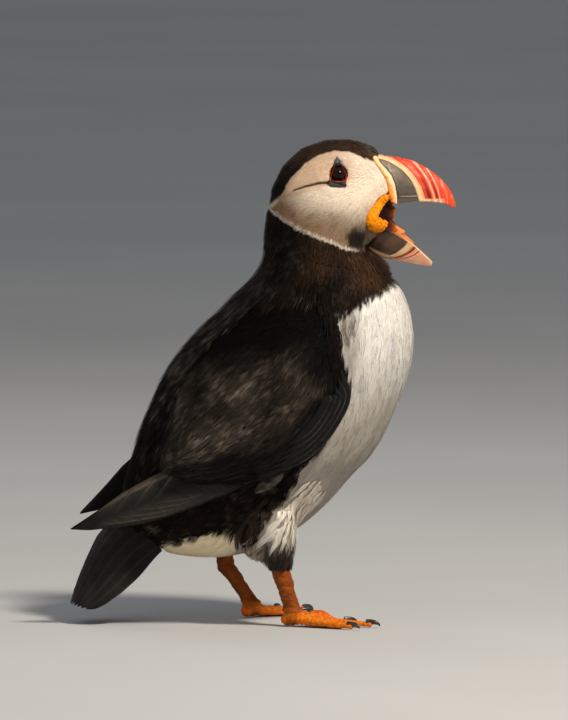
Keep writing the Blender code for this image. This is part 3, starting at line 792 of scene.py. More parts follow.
def feathers(
    surface, roots, normals, flow, length, width, colour, seed, strips=5, segments=4, lift=0.7, base=0.25,
    rounding=0.35, ragged=0.15, narrow=0.35, turn=0.08, gather=0.0, wander=0.0, cup=0.3,
):
    """Vanes that lie on a surface, each cut into strips with free tips. Returns points, faces, tints, UVs.

    A vane starts at its root, follows the surface along the flow and rises by `lift` towards its tip.
    `rounding` shortens the outer strips, `narrow` is the root's share of the width, `gather` draws
    the tips together and `cup` is how round the vane looks across.
    """
    rng = np.random.default_rng(seed)
    count = len(roots)
    along = unit(flow - (flow * normals).sum(-1, keepdims=True) * normals)
    across = np.cross(normals, along)
    swing = (rng.normal(0, turn, count) + wander * noise3(roots, 7.0, seed))[:, None]
    along = unit(along + across * swing)
    across = np.cross(normals, along)
    length = length * rng.uniform(0.88, 1.12, count)
    width = width * rng.uniform(0.9, 1.1, count)

    s = np.linspace(0, 1, segments + 1)
    guide = roots[:, None, None, :] + along[:, None, None, :] * (length[:, None] * s)[:, :, None, None]
    guide = guide + across[:, None, None, :] * (width[:, None] / 2 * np.array([-1, 0, 1]))[:, None, :, None]
    places, ups = surface.nearest(guide)
    flat = (ups[:, 0] * ups[:, -1]).sum(-1).min(axis=1) > -0.1
    places, ups, roots, across, length = (v[flat] for v in (places, ups, roots, across, length))
    count = len(roots)
    longest = (1.25 * length / segments)[:, None, None]
    for j in range(1, segments + 1):
        step = places[:, j] - places[:, j - 1]
        size = np.linalg.norm(step, axis=-1, keepdims=True)
        places[:, j] = places[:, j - 1] + step * np.minimum(1.0, longest / np.maximum(size, 1e-6))

    t = np.linspace(-1, 1, strips) * (1 - 1 / strips)
    share = 1 - rounding * t[None, :] ** 2 - ragged * rng.random((count, strips))
    row = s[None, None, :] * share[:, :, None] * segments
    low = np.clip(np.floor(row).astype(int), 0, segments - 1)
    part = row - low
    reach = (narrow + (1 - narrow) * ease(0.0, 0.45, s)) * (1 - gather * ease(0.35, 1.0, s))
    centre = t[None, :, None] * reach + rng.normal(0, 0.12, (count, strips, 1)) * s**2
    half = (0.78 / strips) * (narrow + (1 - narrow) * ease(0.0, 0.35, s)) * (1 - ease(0.45, 1.0, s))
    edges = np.stack([centre - half, centre + half], axis=-1)

    index = np.arange(count)[:, None, None]

    def at(values, sides):
        """Values of the guide lines at each row, bent across the vane through its three lines."""
        lower, upper = values[index, low], values[index, np.minimum(low + 1, segments)]
        v = lower * (1 - part)[..., None, None] + upper * part[..., None, None]
        left, middle, right = (v[..., k, :][..., None, :] for k in range(3))
        k = sides[..., None]
        return middle + k * (right - left) / 2 + k**2 * ((right + left) / 2 - middle)

    def in_strips(values):
        tip = values[:, :, -1].mean(axis=2, keepdims=True)
        return np.concatenate([values[:, :, :-1].reshape(count, strips, 2 * segments, 3), tip], axis=2)

    ground, up = at(places, edges), unit(at(ups, edges))
    jitter = rng.normal(0, 0.12, (count, strips, 1)) * lift
    height = base + lift * s**1.3 + jitter * s
    verts = in_strips(ground + up * height[..., None, None])
    outward = unit(in_strips(up + across[:, None, None, None, :] * edges[..., None] * cup))

    per_strip = 2 * segments + 1
    starts = np.arange(count * strips) * per_strip
    quads = [np.stack([starts + 2 * j + k for k in (0, 2, 3, 1)], 1) for j in range(segments - 1)]
    tips = np.stack([starts + 2 * segments - 2, starts + per_strip - 1, starts + 2 * segments - 1], 1)

    sides = np.concatenate([edges[:, :, :-1].reshape(count, strips, -1), centre[:, :, -1:]], axis=2)
    s_all = np.broadcast_to(np.append(np.repeat(s[:-1], 2), 1.0), sides.shape)
    tints = colour(roots, verts, s_all, sides, rng)
    return {
        "verts": verts.reshape(-1, 3),
        "quads": np.concatenate(quads),
        "tris": tips,
        "tints": tints.reshape(-1, 3),
        "bake": bake_places(roots[:, None, None, :], s_all, sides).reshape(-1, 2),
        "vane": (np.stack([sides, s_all], axis=-1) + rng.random((count, 1, 1, 2)) * 50).reshape(-1, 2),
        "outward": outward.reshape(-1, 3),
    }


def add_coat(name, groups, material, slot, replaces=()):
    """Joins groups of feathers into one piece."""
    starts = np.cumsum([0] + [len(g["verts"]) for g in groups])
    faces = []
    for kind in ("quads", "tris"):
        faces += [tuple(f) for g, start in zip(groups, starts) for f in g[kind] + start]

    def joined(key):
        return np.concatenate([g[key] for g in groups])

    uvs = {"OFBake": joined("bake"), "vane": joined("vane")}
    obj = add_mesh(name, joined("verts"), faces, material, slot, joined("tints"), uvs, replaces)
    if "outward" in groups[0]:
        obj.data.normals_split_custom_set_from_vertices(joined("outward").tolist())


def marked(base_colour, tip=1.15, root=0.7, spread=0.12, own=None, rim=0.0):
    """A tuft's colours from the marking, darker where it starts, lighter at its tip and rim.

    `own` is how far each tuft keeps the marking of its root, where the rest takes it from its own place.
    """

    def colour(roots, points, s, sides, rng):
        if own is None:
            base = base_colour(roots)[:, None, None, :]
        else:
            keep = own(roots)[:, None, None, None] if callable(own) else own
            base = base_colour(roots[:, None, None, :] * keep + points * (1 - keep))
        vary = 1 + rng.normal(0, spread, (len(roots), s.shape[1], 1, 1))
        along = (root + (tip - root) * s + rim * ease(0.55, 0.9, np.hypot(sides, s**3)))[..., None]
        return np.clip(base * vary * along, 0.0012, 0.95)

    return colour


# ---------------------------------------------------------------- skin

BODY_NODES = ("neck", "trunk", "tail", "wing_right", "wing_left", "thigh_right", "thigh_left")
COAT_DEPTH = 1.3
MAX_THICKNESS = 50.0
RAY_REACH = 12.0
THIN_SHARE = 0.3  # how much of the thickness of a thin part the skin may give up on each side
BELLY_LOW = 31.0

# Lumps that fill the head behind the bill, the chin, the forehead, the throat, the crop and the near flank.
BEHIND_BILL = ball((50.5, 0, 190.3), (6.6, 6.4, 8.6))
CHIN_LUMP = ball((45.6, 0, 166.0), (6.6, 8.0, 6.0))
FOREHEAD = ball((38.9, 0, 196.7), (12.6, 6.3, 12.0))
THROAT = ball((45.8, 0, 153.6), (7.2, 9.5, 7.8))
CROP = ball((47.6, 0, 151.6), (8.2, 8.6, 7.4))
FLANK = ball((-0.5, -21.5, 39.5), (10.5, 9.0, 12.5))

# Half widths of the head where its feathers meet the bill, by height.
BILL_WIDTHS = [
    (159, 1.6), (160, 2), (162, 2.6), (164, 3.5), (166, 4.3), (168, 5), (171, 5.8), (180, 8.6), (183, 8.5),
    (186, 8), (189, 7.4), (192, 6.8), (195, 6.1), (198, 4.9), (201, 2.9), (203, 2.4),
]


def inset(verts, faces, depth):
    """Moves each point inwards by its depth, or by less where the body is thin."""
    normals = vertex_normals(verts, faces)
    tree = BVHTree.FromPolygons([Vector(v) for v in verts], faces)
    thick = np.full(len(verts), MAX_THICKNESS)
    for i, (p, n) in enumerate(zip(verts, normals)):
        hit = tree.ray_cast(Vector(p - n * 0.05), Vector(-n), RAY_REACH)
        if hit[0] is not None:
            thick[i] = hit[3]
    return verts - normals * np.minimum(depth, thick * THIN_SHARE)[:, None]


def face_forms(p):
    """The cheek that swells below the crease, the brow, the hollow round the eye and the crease itself."""
    x, _, z = xyz(p)
    cheek = np.exp(-(((x - 26) / 12) ** 2) - (((z - 181) / 8.5) ** 2))
    brow = np.exp(-(((x - 33) / 8) ** 2) - (((z - 201) / 3.0) ** 2))
    hollow = bell(np.hypot(x - EYE_X, z - EYE_Z), 0, 4.4)
    gap, _, along = to_line(p, CREASE)
    return 0.5 * cheek + 0.3 * brow - 0.75 * hollow, 0.7 * bell(gap, 0, 0.9) * ease(1.0, 0.6, along)


def taper(verts):
    """Narrows the head towards the bill, so that the bill's rim shows in front of the face."""
    x, y, z = xyz(verts)
    past = ahead_of(verts, BILL_EDGE)
    close = ease(-4.5, 0.3, past) * ease(181.0, 185.0, z) * ease(207.0, 202.0, z)
    close = np.maximum(close, ease(-3.2, 0.2, past) * ease(158.5, 160.5, z) * ease(171.0, 168.5, z))
    wide = np.abs(y)
    slim = wide - close * np.maximum(wide - np.interp(z, *zip(*BILL_WIDTHS)), 0)
    return np.stack([x, np.sign(y) * slim, z], -1)


def make_head_surface():
    verts, faces = fuse(("head", "neck"), 0.62, 0.55, 34, [BEHIND_BILL, CHIN_LUMP, FOREHEAD, THROAT, CROP])
    front = ease(44.0, 50.0, verts[:, 0]) * ease(162.0, 168.0, verts[:, 2])
    depth = mix([COAT_DEPTH], [0.55], faceness(verts))[:, 0] * (1 - front) + 0.1 * front
    forms, crease = face_forms(verts)
    depth = depth + crease + 0.25 - forms
    return taper(verts - vertex_normals(verts, faces) * depth[:, None]), faces


# Each leg: its distance from the middle, the hock, the ankle's x, the way the foot points, outwards,
# and how high its inner web's fold stands.
LEGS = {
    "right": {"out": 22.5, "hock": (7.7, 23.6), "ankle": 12.7, "heading": 10.0, "fold": 4.8},
    "left": {"out": 20.5, "hock": (-15.9, 22.2), "ankle": -5.2, "heading": 45.0, "fold": 0.6},
}
# Each toe's direction from the foot's, inwards, and its reach to the claw.
TOE_REACH = {"outer": (-23.0, 29.0), "middle": (0.0, 33.0), "inner": (26.0, 24.0)}
CLAW_REACH = 5.0


def toe_way(side, angle):
    turn = math.radians((LEGS[side]["heading"] - angle) * SIDES[side])
    return np.array([math.cos(turn), math.sin(turn), 0.0])


def hub(side):
    return np.array([LEGS[side]["ankle"], SIDES[side] * LEGS[side]["out"], 0.0])


def web(side, first, second, fold):
    """The thin skin between two toes, with a hollow front edge and a fold that stands up by `fold`."""
    (angle_a, reach_a), (angle_b, reach_b) = TOE_REACH[first], TOE_REACH[second]
    f, r = np.meshgrid(np.linspace(0, 1, 19), np.linspace(0, 1, 22))
    ways = np.stack([toe_way(side, angle_a + (angle_b - angle_a) * v) for v in f[0]])
    arch = np.sin(math.pi * f)
    reach = (0.93 * reach_a * (1 - f) + 0.93 * reach_b * f) * (1 - 0.17 * arch)
    points = hub(side) + ways[None] * (2.0 + (reach - 2.0) * r)[..., None]
    ripple = 0.25 * np.sin(9 * f + 5 * r) * arch
    height = 2.3 - 0.9 * r + ripple + fold * arch * ease(0.1, 0.3, r) * ease(0.95, 0.5, r)
    top, low = points.copy(), points.copy()
    top[..., 2], low[..., 2] = height + 0.55, np.maximum(height - 0.6, 0.15)
    return slab(top, low)


def make_leg_surface(side):
    """Bare leg and foot of one side: shank, ankle, toes with their joints, and webs."""
    centre, ahead = hub(side), toe_way(side, 0.0)
    hock = np.array([LEGS[side]["hock"][0], centre[1], LEGS[side]["hock"][1]])
    pieces = [
        ball(centre + ahead * 0.2 + (0, 0, 4.6), (4.5, 3.9, 4.3)),
        ball(centre - ahead * 2.2 + (0, 0, 3.2), (3.2, 3.2, 3.0)),
        ball(centre + ahead * 3.6 + (0, 0, 3.4), (3.8, 3.6, 2.9)),
    ]
    pieces += [ball(hock + (-0.25 * k, 0, 1.6 * k - 1.0), (4.1, 3.5, 2.4)) for k in range(7)]
    for angle, reach in TOE_REACH.values():
        way = toe_way(side, angle)
        for f in np.linspace(0, 1, 16):
            knuckle = 0.16 * max(math.cos(2 * math.pi * (f * 3.0 - 0.1)), 0) ** 2
            radius = 2.55 - 1.05 * f + knuckle
            at = centre + way * (2.0 + (reach + 0.4 - 2.0) * f) + (0, 0, 3.3 - 1.75 * f**0.8)
            pieces.append(ball(at, (radius, radius, radius * 0.92)))
    pieces += [web(side, "outer", "middle", 0.4), web(side, "middle", "inner", LEGS[side]["fold"])]
    verts, faces = fuse([f"shank_{side}"], 0.4, 0.3, 3, pieces)
    up_leg = ease(5.0, 10.0, verts[:, 2])
    folds = noise3(verts * (0.7, 0.7, 2.4), 2.4, 21) + 0.6 * noise3(verts * (0.8, 0.8, 2.6), 1.3, 22)
    across = np.sin(((verts - centre) @ ahead) * 3.4 + 2 * noise3(verts, 2.0, 26)) * (1 - up_leg)
    ankle_folds = bell(np.linalg.norm(verts - centre - ahead * 3 - (0, 0, 4.5), axis=1), 0, 4.5)
    move = 0.20 * up_leg * folds + (0.03 + 0.22 * ankle_folds) * across + 0.08 * noise3(verts, 1.0, 23) - 0.22
    verts = verts + vertex_normals(verts, faces) * move[:, None]
    verts[:, 2] = np.maximum(verts[:, 2], 0.03)
    return verts, faces


def leg_colour(p, side):
    """Orange, yellower along the toes and redder on the webs, with brown in the folds up the leg."""
    leg, centre = LEGS[side], hub(side)
    x, y, z = xyz(p - centre)
    away, reach = np.degrees(np.arctan2(y, x)) * SIDES[side], np.hypot(x, y)
    gap = np.full(len(p), FAR)
    for angle, _ in TOE_REACH.values():
        off = np.radians(away - (leg["heading"] - angle))
        gap = np.minimum(gap, np.abs(np.sin(off)) * reach + 5 * (np.cos(off) < 0))
    folds = noise3(p * (0.7, 0.7, 2.4), 2.4, 21) + 0.4 * noise3(p, 1.2, 25)
    shank = mix((0.19, 0.033, 0.001), (0.35, 0.080, 0.002), cloud(p, 3.0, 24))
    toe = mix((0.80, 0.150, 0.006), (0.90, 0.260, 0.012), cloud(p, 1.6, 27))
    low = ease(8.0, 5.5, z)
    back = ease(0.5, -2.5, x - (leg["hock"][0] - centre[0]) * z / leg["hock"][1])
    brown = np.clip(ease(0.1, -0.5, folds) * 0.75 + 0.6 * back, 0, 1) * ease(4.0, 9.0, z)
    return paint(
        shank,
        (toe, low * ease(2.5, 5.0, reach)),
        ((0.92, 0.095, 0.002), ease(1.6, 2.7, gap) * low * ease(4.0, 6.0, reach) * 0.9),
        ((0.16, 0.055, 0.012), brown * 0.75),
        ((0.30, 0.05, 0.006), ease(0.2, -0.7, noise3(p, 0.9, 28)) * 0.35),
    )


def make_skin():
    """One skin for the whole bird, in one piece under the coat."""
    verts, faces = fuse(BODY_NODES + ("head",), 1.15, 0.45, 8, [THROAT, CROP, FLANK])
    x, y, z = verts.T
    low = (z < BELLY_LOW) & (y > 8) & (x > -32)
    verts[low, 2] = BELLY_LOW - (BELLY_LOW - verts[low, 2]) * 0.25
    tail_start, tail_end = np.array([-47.5, 0, 37.0]), np.array([-78.9, 0, 5.8])
    tail_way = unit(tail_end - tail_start)
    past = (verts - tail_start) @ tail_way - 0.80 * np.linalg.norm(tail_end - tail_start)
    verts = verts - tail_way * (np.maximum(past, 0) * 0.85 * (verts[:, 0] < -55))[:, None]
    edge, _, _ = to_line(verts, WING_LOW_EDGE)
    verts = fill_grooves(verts, faces, 24, ease(3.0, 10.0, edge) * ease(165.0, 155.0, verts[:, 2]))
    z = verts[:, 2]
    breast = ease(-3.0, 4.0, inside(verts, WHITE)) * ease(150.0, 146.0, z)
    depth = COAT_DEPTH + 1.2 * ease(160.0, 170.0, z) + 0.3
    verts = inset(verts, faces, depth - 1.0 * breast * ease(62.0, 72.0, z))
    head_verts, head_faces = make_head_surface()
    wing = ease(-2.5, -1.5, near_wing(verts)) * (np.abs(verts[:, 1]) > 20) * (verts[:, 2] < 150)
    shapes = [(verts, faces), (head_verts, head_faces), *map(make_leg_surface, SIDES)]
    tints = [mix(body_colour(verts), BLACK, wing), body_colour(head_verts)]
    tints += [leg_colour(leg_verts, side) for side, (leg_verts, _) in zip(SIDES, shapes[2:])]
    flesh_nodes = ["head", *BODY_NODES] + [f"{part}_{side}" for part in ("shank", "foot") for side in SIDES]
    tint = np.clip(np.concatenate(tints), 0.003, 0.95)
    add_mesh("skin", *join(shapes), skin_material(), "black_plumage", tint, replaces=flesh_nodes)
    return Surface(verts, faces), Surface(head_verts, head_faces)


# ---------------------------------------------------------------- coat


def near_wing(points):
    """How far inside the wing's outline a point is, in side view, in millimetres."""
    return inside(points, WING_TOP_EDGE + WING_LOW_EDGE[::-1])


def on_wing(points):
    return (near_wing(points) > 0.5) & (np.abs(points[..., 1]) > 24.0)


def coat(name, slot, *groups):
    """A coat piece from groups of feathers. A group is (surface, spacing, keep, flow, colour, options)."""
    made = []
    for k, (surface, spacing, keep, flow, colour, options) in enumerate(groups):
        seed = sum(map(ord, name)) * 7 + k
        roots, normals = scatter(surface, spacing, keep, seed)
        made.append(feathers(surface, roots, normals, flow(roots), colour=colour, seed=seed + 1, **options))
    add_coat(name, made, plumage(slot), slot)


def heading_of(*way):
    return lambda p: np.broadcast_to(unit(np.array(way)), p.shape)


def off_bill(p):
    _, y, z = xyz(p)
    brow = 3.4 * ease(3.0, 1.5, np.abs(y)) * ease(199.8, 201.2, z)
    return ahead_of(p, BILL_EDGE) < brow + 0.35


def make_head_coat(head):
    eyes = [np.array(sum(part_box(f"eye_{side}"), Vector()) / 2) / MM for side in SIDES]

    def on_face(p, n):
        from_eye = np.min([np.linalg.norm(p - eye, axis=-1) for eye in eyes], axis=0)
        return (faceness(p) > 0.5) & (from_eye > 3.7) & (p[..., 2] > 158.5) & off_bill(p)

    def on_rim(p, n):
        return on_face(p, n) & (inside(p, FACE) < 2.0) & (p[..., 2] < 183.0)

    def within_face(p, n):
        return on_face(p, n) & ((inside(p, FACE) > 0.8) | (p[..., 2] > 183.0) | (p[..., 0] > 42.0))

    def cap_edge(p, n):
        return (faceness(p) <= 0.5) & (p[..., 2] > 178.0) & (inside(p, FACE) > -3.2) & off_bill(p)

    def on_crown(p, n):
        lowest = 155.5 + 3.5 * noise3(p, 4.0, 55) + 4.0 * noise3(p, 0.8, 56)
        return (faceness(p) <= 0.5) & (p[..., 2] > lowest) & off_bill(p) & ~cap_edge(p, n)

    def by_place(p):
        return ease(186.0, 180.0, p[..., 2])

    coat(
        "coat_face", "face_plumage",
        (head, 0.8, within_face, body_flow, marked(body_colour, 1.05, 0.88, 0.05, by_place), dict(
            length=2.5, width=0.85, strips=3, segments=3, lift=0.16, base=0.06, rounding=0.2, ragged=0.3,
            turn=0.09)),
        (head, 0.7, on_rim, body_flow, marked(body_colour, 1.08, 0.92, 0.05), dict(
            length=1.7, width=0.42, strips=2, segments=3, lift=0.14, base=0.05, rounding=0.2, ragged=0.4,
            turn=0.12)),
    )
    coat(
        "coat_crown", "black_plumage",
        (head, 0.95, cap_edge, body_flow, marked(body_colour, 1.5, 0.6, 0.3, by_place), dict(
            length=2.6, width=0.9, strips=3, segments=3, lift=0.25, base=0.12, rounding=0.2, ragged=0.3,
            turn=0.08)),
        (head, 1.15, on_crown, body_flow, marked(black_colour, 1.5, 0.6, 0.3), dict(
            length=4.2, width=1.4, strips=4, segments=3, lift=0.45, base=0.3, rounding=0.25, ragged=0.35,
            turn=0.12)),
    )


def make_black_coat(skin):
    def on_collar(p, n):
        return (p[..., 2] < 164.0) & (p[..., 2] > 131.0) & (whiteness(p) < 0.5) & ~on_wing(p)

    def on_back(p, n):
        x, _, z = xyz(p)
        tail = (x < -49.0) & (z < 37.0 - 0.15 * (x + 60.0)) & (n[..., 2] > -0.3)
        return (z <= 134.0) & (whiteness(p) < 0.5) & ~on_wing(p) & (z > 4.0) & ~tail

    def over_wing(p, n):
        wing = near_wing(p)
        return (wing < 1.5) & (wing > -7.0) & (p[..., 2] > 84.0) & (p[..., 0] < 30.0) & (whiteness(p) < 0.5)

    coat(
        "coat_collar", "black_plumage",
        (skin, 1.3, on_collar, body_flow, marked(black_colour, 1.7, 0.6, 0.3, 0.5), dict(
            length=5.2, width=1.6, strips=5, segments=3, lift=0.6, base=0.5, ragged=0.5, turn=0.13,
            wander=0.12)),
    )
    coat(
        "coat_back", "black_plumage",
        (skin, 2.0, on_back, body_flow, marked(black_colour, 1.6, 0.55, 0.3, 0.5), dict(
            length=10.5, width=4.4, strips=7, segments=4, lift=0.9, base=0.3, ragged=0.2, turn=0.1,
            wander=0.15)),
        (skin, 3.6, over_wing, body_flow, marked(black_colour, 1.5, 0.6, 0.3, 0.5), dict(
            length=14.0, width=6.0, strips=8, segments=5, lift=1.3, base=0.9, ragged=0.2, turn=0.1)),
    )


def make_white_coat(skin):
    def clear_of_wing(p, reach):
        return (near_wing(p + body_flow(p) * reach) < 0.8) | (np.abs(p[..., 1]) < 18.0)

    def on_breast(p, n):
        z = p[..., 2]
        return (z < 150.0) & (whiteness(p) >= 0.5) & (z > 60.0) & ~on_wing(p) & clear_of_wing(p, 5.0)

    def plume_places(p, n):
        return on_breast(p, n) & (noise3(p, 6.0, 18) > 0.1) & clear_of_wing(p, 13.0)

    def on_belly(p, n):
        return (p[..., 2] <= 62.0) & (whiteness(p) >= 0.5) & (p[..., 2] > 21.0)

    def on_trousers(p, n):
        x, y, z = xyz(p)
        return (z < 40.0) & (np.minimum(np.hypot(x - 5.0, y + 22.5), np.hypot(x + 13, y - 20.5)) < 12.0)

    def trouser_flow(p):
        back = ease(6.0, -4.0, p[..., 0]) * (p[..., 1] < 0)
        return unit(np.stack([-0.15 - 0.55 * back, 0 * back, -1.0 + 0.3 * back], -1))

    silk = marked(white_colour, 1.02, 0.95, 0.025)
    coat(
        "coat_breast", "white_plumage",
        (skin, 1.6, on_breast, body_flow, silk, dict(
            length=9.0, width=2.3, strips=5, segments=4, lift=0.18, base=0.25, rounding=0.25, ragged=0.3,
            turn=0.05, gather=0.08, wander=0.12, cup=0.06)),
        (skin, 4.8, plume_places, body_flow, marked(white_colour, 1.05, 0.98, 0.025), dict(
            length=16.0, width=3.6, strips=9, segments=6, lift=0.35, base=0.4, rounding=0.5, ragged=0.5,
            turn=0.10, gather=0.3, wander=0.35, cup=0.08)),
    )
    coat(
        "coat_belly", "white_plumage",
        (skin, 1.8, on_belly, body_flow, silk, dict(
            length=10.0, width=2.6, strips=6, segments=4, lift=0.35, base=0.3, rounding=0.25, ragged=0.4,
            turn=0.10, gather=0.15, wander=0.2, cup=0.08)),
        (skin, 1.6, on_trousers, trouser_flow, marked(white_colour, 1.15, 0.85, 0.2), dict(
            length=8.0, width=2.0, strips=5, segments=4, lift=1.1, base=0.6, rounding=0.3, ragged=0.6,
            turn=0.2, gather=0.3)),
    )


def make_flank_plumes(skin):
    def white_plume_line(p, n):
        gap, _, _ = to_line(p, [(22.5, 60.0), (15.5, 51.0), (7.0, 42.5)])
        return (gap < 4.2) & (np.abs(p[..., 1]) > 17.0) & (p[..., 2] > 36.0) & (whiteness(p) > 0.5)

    def dark_plume_line(p, n):
        gap, _, _ = to_line(p, [(2.0, 53.0), (-4.0, 44.0), (-9.0, 40.0)])
        return (gap < 4.0) & (np.abs(p[..., 1]) > 15.0)

    def bright(p):
        return mix(white_colour(p), (0.95, 0.87, 0.75), 0.85)

    def dark_brown(p):
        return np.broadcast_to(np.array((0.030, 0.020, 0.014)), p.shape)

    coat(
        "coat_flank_plumes", "white_plumage",
        (skin, 2.2, white_plume_line, heading_of(-0.62, 0.0, -0.78), marked(bright, 1.06, 0.95, 0.06), dict(
            length=14.0, width=2.4, strips=6, segments=6, lift=1.3, base=0.9, rounding=0.4, ragged=0.6,
            turn=0.12, gather=0.45)),
    )
    coat(
        "coat_flank_tufts", "black_plumage",
        (skin, 2.2, dark_plume_line, heading_of(-0.25, 0.0, -0.97), marked(dark_brown, 1.7, 0.7, 0.3), dict(
            length=11.0, width=2.4, strips=5, segments=5, lift=1.6, base=0.9, rounding=0.4, ragged=0.5,
            turn=0.16, gather=0.5)),
    )


def make_wing_coat(skin, side):
    def on_this_wing(p, n):
        return on_wing(p) & (p[..., 1] * SIDES[side] > 0)

    def on_this_edge(p, n):
        gap, _, along = to_line(p, WING_LOW_EDGE)
        return on_this_wing(p, n) & (gap < 13.0) & (along > 0.22) & (along < 0.86)

    coat(
        f"coat_wing_{side}", "black_plumage",
        (skin, 1.75, on_this_wing, wing_flow, marked(wing_colour, 1.6, 0.6, 0.3, 0.5), dict(
            length=7.5, width=3.4, strips=6, segments=4, lift=0.7, base=0.25, rounding=0.4, ragged=0.25,
            turn=0.1, wander=0.15)),
        (skin, 4.0, on_this_edge, wing_flow, marked(wing_edge_colour, 1.3, 0.7, 0.1, None, 1.6), dict(
            length=20.0, width=5.6, strips=9, segments=6, lift=0.7, base=0.7, rounding=0.3, ragged=0.06,
            turn=0.03)),
    )


# ---------------------------------------------------------------- bill, gape and mouth

UPPER_CENTRE = (45.0, 177.0)  # the stripes of the upper bill are arcs round this point
LOWER_ROOT, LOWER_AHEAD = (48.0, 165.4), (0.916, -0.40)  # start and direction of the lower bill
SILL = 183.0  # the height of the upper bill's lower edge
# The cere is the raised rim at the base of the upper bill.
CERE_BACK = [
    (54.3, 181), (53.9, 185.5), (53.2, 188.5), (51.9, 192), (49.6, 195.6), (47.5, 198.2), (46.2, 201.5),
]
CERE_FRONT = [
    (57.6, 181), (57.3, 185), (56.6, 189), (55.3, 192.4), (53.1, 195.3), (50.6, 197.8), (48.2, 201.5),
]
# The rear of the cere's upper half on one side, as (x, |y|, z).
CERE_TOP = [
    (47.8, 1.9, 200.4), (48.3, 2.7, 199.4), (49, 3.6, 198.1), (50.2, 4.2, 196.5), (51.5, 4.7, 194.6),
    (52.6, 5.2, 192.6),
]
# The ridge of the upper bill, from the forehead to the hooked tip.
CULMEN = [
    (46, 201.2), (49, 201.2), (54.6, 201), (58.9, 200.3), (63.2, 199.2), (67.5, 197.5), (71.8, 194.9),
    (76.1, 191.5), (79.6, 187.2),
]


def carve(relief, q, *bands):
    """Adds (low, high, height, soft) bands to a relief."""
    for low, high, height, soft in bands:
        relief = relief + height * band(q, low, high, soft)
    return relief


def settle_ridge(p):
    """Brings the ridge of the upper bill to its line and leaves its lower edge."""
    x, y, z = xyz(p)
    steps = np.arange(max(x.min(), CULMEN[0][0]) + 1.0, CULMEN[-1][0], 1.0)
    tops = blur(np.array([z[np.abs(x - at) < 0.6].max() for at in steps]), 2)
    wanted = np.interp(steps, *zip(*CULMEN))
    scale = np.interp(x, steps, np.clip((wanted - SILL) / (tops - SILL), 0.85, 1.05))
    return np.stack([x, y, np.where(z > SILL, SILL + (z - SILL) * scale, z)], -1)


